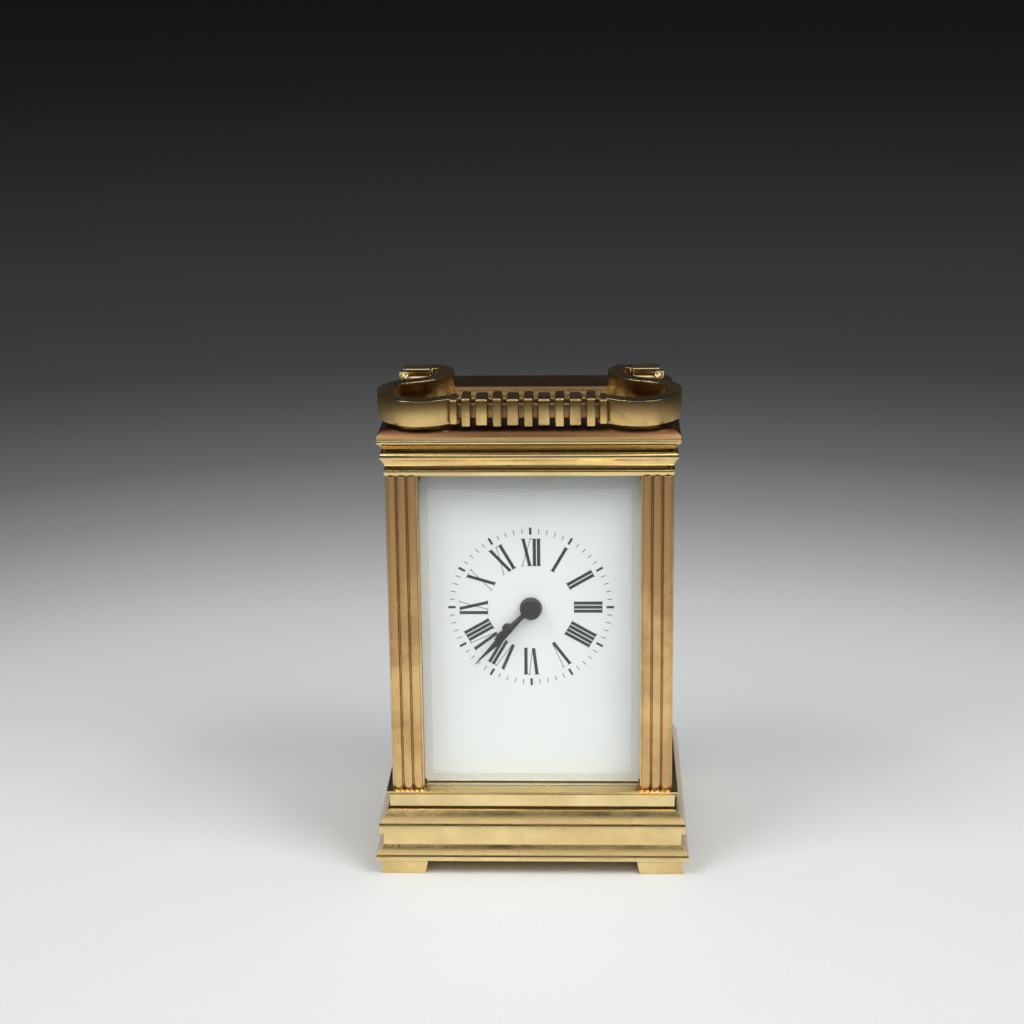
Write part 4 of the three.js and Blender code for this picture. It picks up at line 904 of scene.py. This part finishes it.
def make_dial_print():
    centre = JOINT_AT["hand_setting"]
    face_y = span("dial")[0].y
    bm = bmesh.new()
    for minute in range(60):
        half_width, half = MINUTE_TICK if minute % 5 else HOUR_TICK
        printed(bm, centre, face_y, math.radians(6 * minute), [
            (-half_width, TICK_MIDDLE - half), (half_width, TICK_MIDDLE - half),
            (half_width, TICK_MIDDLE + half), (-half_width, TICK_MIDDLE + half)])
    for hour, letters in enumerate(NUMERALS, start=1):
        angle = math.radians(30 * hour)
        strokes, ends = numeral_strokes(letters)
        middle = (min(ends) + max(ends)) / 2
        for across_in, across_out, width, footed in strokes:
            printed(bm, centre, face_y, angle, stroke(across_in - middle, across_out - middle, width))
            printed(bm, centre, face_y, angle, serif(across_out - middle, width, NUMERAL_OUTER))
            if footed:
                printed(bm, centre, face_y, angle, serif(across_in - middle, width, NUMERAL_INNER))
    finish_piece(bm, "dial_print", "dial_black", "case", crease=30)


def hand_blade(bm, half_outline, centre, angle, front, back, bevel):
    """A flat hand from its half outline of (half width, distance from the centre), rounded at its edges."""
    points = list(half_outline) + [(-half, out) for half, out in reversed(half_outline)]
    up = Vector((math.sin(angle), 0, math.cos(angle)))
    right = Vector((math.cos(angle), 0, -math.sin(angle)))
    base = Vector((centre.x, back, centre.z))
    blade = bmesh.new()
    face = blade.faces.new([blade.verts.new(base + right * a + up * b) for a, b in points])
    pushed = bmesh.ops.extrude_face_region(blade, geom=[face])["geom"]
    bmesh.ops.translate(blade, vec=(0, front - back, 0), verts=only_verts(pushed))
    bmesh.ops.recalc_face_normals(blade, faces=blade.faces)
    rim = [e for e in blade.edges if all(abs(v.co.y - front) < 1e-5 for v in e.verts)]
    bmesh.ops.bevel(
        blade, geom=rim, offset=bevel, offset_type="OFFSET", segments=2, profile=0.5, affect="EDGES",
        clamp_overlap=True, material=-1)
    pour(blade, bm)


MINUTE_ANGLE = math.radians(224.6)
HOUR_ANGLE = math.radians(227.7)
BULB_RADIUS = 1.6
BULB_AT = 9
BULB_OPEN = 0.35
BULB_STEPS = 12
BLADE_BACK = 0.1
HUB_STEPS = 64
HOUR_OUTLINE_IN = [(0.7, 2.6), (0.45, 5), (0.5, 7.3)]
HOUR_OUTLINE_OUT = [(0.75, 11.2), (0.62, 12.6), (0.1, 14.2)]
MINUTE_OUTLINE = [
    (0.5, 2.4), (0.4, 4), (0.5, 6.2), (0.66, 8), (0.82, 9.6), (0.92, 11), (0.92, 12.4), (0.8, 14), (0.6, 16),
    (0.42, 18.2), (0.24, 20.6), (0.05, 23)]
# Turned hubs, as (radius, how far behind the hand's front face); None is the hand's back.
HOUR_HUB = [(2.25, None), (3.2, None), (3.2, 0.12), (3.08, 0), (2.25, 0), (2.25, None)]
MINUTE_HUB = [
    (1.55, None), (3.0, None), (3.0, 0.12), (2.88, 0), (2.4, 0), (2.3, 0.12), (2.05, 0.12), (1.95, 0), (1.55, 0),
    (1.55, None)]
HUB_WASHER = [
    (1.62, 0.05), (1.62, -0.12), (1.8, -0.16), (2.0, -0.14), (2.2, -0.36), (2.45, -0.42), (2.68, -0.34),
    (2.78, -0.18), (2.78, 0.05), (1.62, 0.05)]


def turned_hub(bm, profile, centre, front, back):
    turned(bm, [(radius, back if behind is None else front + behind) for radius, behind in profile],
           "Y", centre, HUB_STEPS)


def make_hands():
    centre = JOINT_AT["hand_setting"]
    bulb = []
    for s in range(BULB_STEPS + 1):
        turn = -math.pi / 2 + BULB_OPEN + (math.pi - 2 * BULB_OPEN) * s / BULB_STEPS
        bulb.append((BULB_RADIUS * math.cos(turn), BULB_AT + BULB_RADIUS * math.sin(turn)))
    hour_outline = HOUR_OUTLINE_IN + bulb + HOUR_OUTLINE_OUT
    for which, outline, angle, bevel, hubs in (
            ("hour_hand", hour_outline, HOUR_ANGLE, 0.12, [HOUR_HUB]),
            ("minute_hand", MINUTE_OUTLINE, MINUTE_ANGLE, 0.14, [MINUTE_HUB, HUB_WASHER])):
        low, high = span(which)
        bm = bmesh.new()
        hand_blade(bm, outline, centre, angle, low.y + BLADE_BACK, high.y, bevel)
        for profile in hubs:
            turned_hub(bm, profile, centre, low.y, high.y)
        finish_piece(bm, f"blued_{which}", "hand_steel", which, [which])


# ---- Movement details -------------------------------------------------------------------------
SCREW_SUNK = 0.1
SCREW_SOCKET = 0.35
SCREW_CHAMFER = 0.15
# The radius and height of each kind of screw head.
PILLAR_SCREW = (2.1, 0.9)
SPRING_SCREW = (1.1, 0.6)
PLATFORM_SCREW = (1.3, 0.6)
COCK_SCREW = (1.4, 0.6)
BRIDGE_SCREW = (0.8, 0.45)
# How far each screw stands in from the edges of what it holds.
SPRING_SCREW_INSET = 1.7
PLATFORM_SCREW_INSET_X = 2.2
PLATFORM_SCREW_INSET_Y = 2.4
COCK_SCREW_INSET = 2.1
BRIDGE_SCREW_INSET = 1.1
BRIDGE_SCREW_Y = -1.8


def round_screw(bm, at, axis, toward, size):
    """A round screw head standing on a face, with a round socket in it."""
    radius, rise = size
    place = Vector(at)
    face = place.dot(AXES[axis])
    profile = [
        (0, -SCREW_SUNK), (radius, -SCREW_SUNK), (radius, rise - SCREW_CHAMFER), (radius - SCREW_CHAMFER, rise),
        (radius * 0.5, rise), (radius * 0.4, rise - SCREW_SOCKET), (0, rise - SCREW_SOCKET)]
    turned(bm, [(out, face + toward * up) for out, up in profile], axis, place, 32)


def make_plate_screws():
    back_face = span("back_plate")[1].y
    front_face = span("front_plate")[0].y
    bm = bmesh.new()
    for i in range(1, 5):
        low, high = span(f"movement_pillar_{i}")
        middle = (low + high) / 2
        round_screw(bm, (middle.x, back_face, middle.z), "Y", 1, PILLAR_SCREW)
        round_screw(bm, (middle.x, front_face, middle.z), "Y", -1, PILLAR_SCREW)
    low, high = span("click_spring")
    foot = (high.x - SPRING_SCREW_INSET, high.y, low.z + SPRING_SCREW_INSET)
    round_screw(bm, foot, "Y", 1, SPRING_SCREW)
    finish_piece(bm, "plate_screws", "blued_steel", "case")


def make_platform_screws():
    bm = bmesh.new()
    low, high = span("platform")
    for x in (low.x + PLATFORM_SCREW_INSET_X, high.x - PLATFORM_SCREW_INSET_X):
        for y in (low.y + PLATFORM_SCREW_INSET_Y, high.y - PLATFORM_SCREW_INSET_Y):
            round_screw(bm, (x, y, high.z), "Z", 1, PLATFORM_SCREW)
    cock = span("balance_cock")[1]
    round_screw(bm, (0, cock.y - COCK_SCREW_INSET, cock.z), "Z", 1, COCK_SCREW)
    low, high = span("escape_bridge")
    for x in (low.x + BRIDGE_SCREW_INSET, high.x - BRIDGE_SCREW_INSET):
        round_screw(bm, (x, BRIDGE_SCREW_Y, high.z), "Z", 1, BRIDGE_SCREW)
    finish_piece(bm, "platform_screws", "blued_steel", "case")


# ---- Build ------------------------------------------------------------------------------------
place_camera()
MATERIAL = make_materials()
light_studio()
make_mouldings()
make_pillars()
make_handle()
make_lugs()
make_dial_print()
make_hands()
make_plate_screws()
make_platform_screws()

# CAD nodes that keep their shape, and the finish that each is given.
KEPT_NODES = {
    "glass": ["top_glass", "front_glass", "side_glass_left", "side_glass_right", "rear_glass"],
    "enamel": ["dial"],
    "handle_brass": ["handle_screw_left", "handle_screw_right"],
    "case_brass": ["rear_door", "door_knob"],
    "hand_steel": ["hairspring", "centre_arbor", "cannon_pinion"],
    "steel": [
        "door_pin_bottom", "door_pin_top", "click_spring", "mainspring", "barrel_arbor", "click",
        "intermediate_pinion", "centre_pinion", "third_pinion", "contrate_pinion", "escape_pinion",
        "escape_wheel", "pallet_lever", "regulator_index"],
    "movement_brass": [
        "front_plate", "back_plate", "movement_pillar_1", "movement_pillar_2", "movement_pillar_3",
        "movement_pillar_4", "platform", "escape_potence", "escape_bridge", "balance_cock", "barrel",
        "barrel_cover", "ratchet_wheel", "intermediate_wheel", "centre_wheel", "third_wheel",
        "contrate_wheel", "balance_wheel", "minute_wheel", "hour_wheel"],
}
for finish, names in KEPT_NODES.items():
    finish_cad(finish, names)
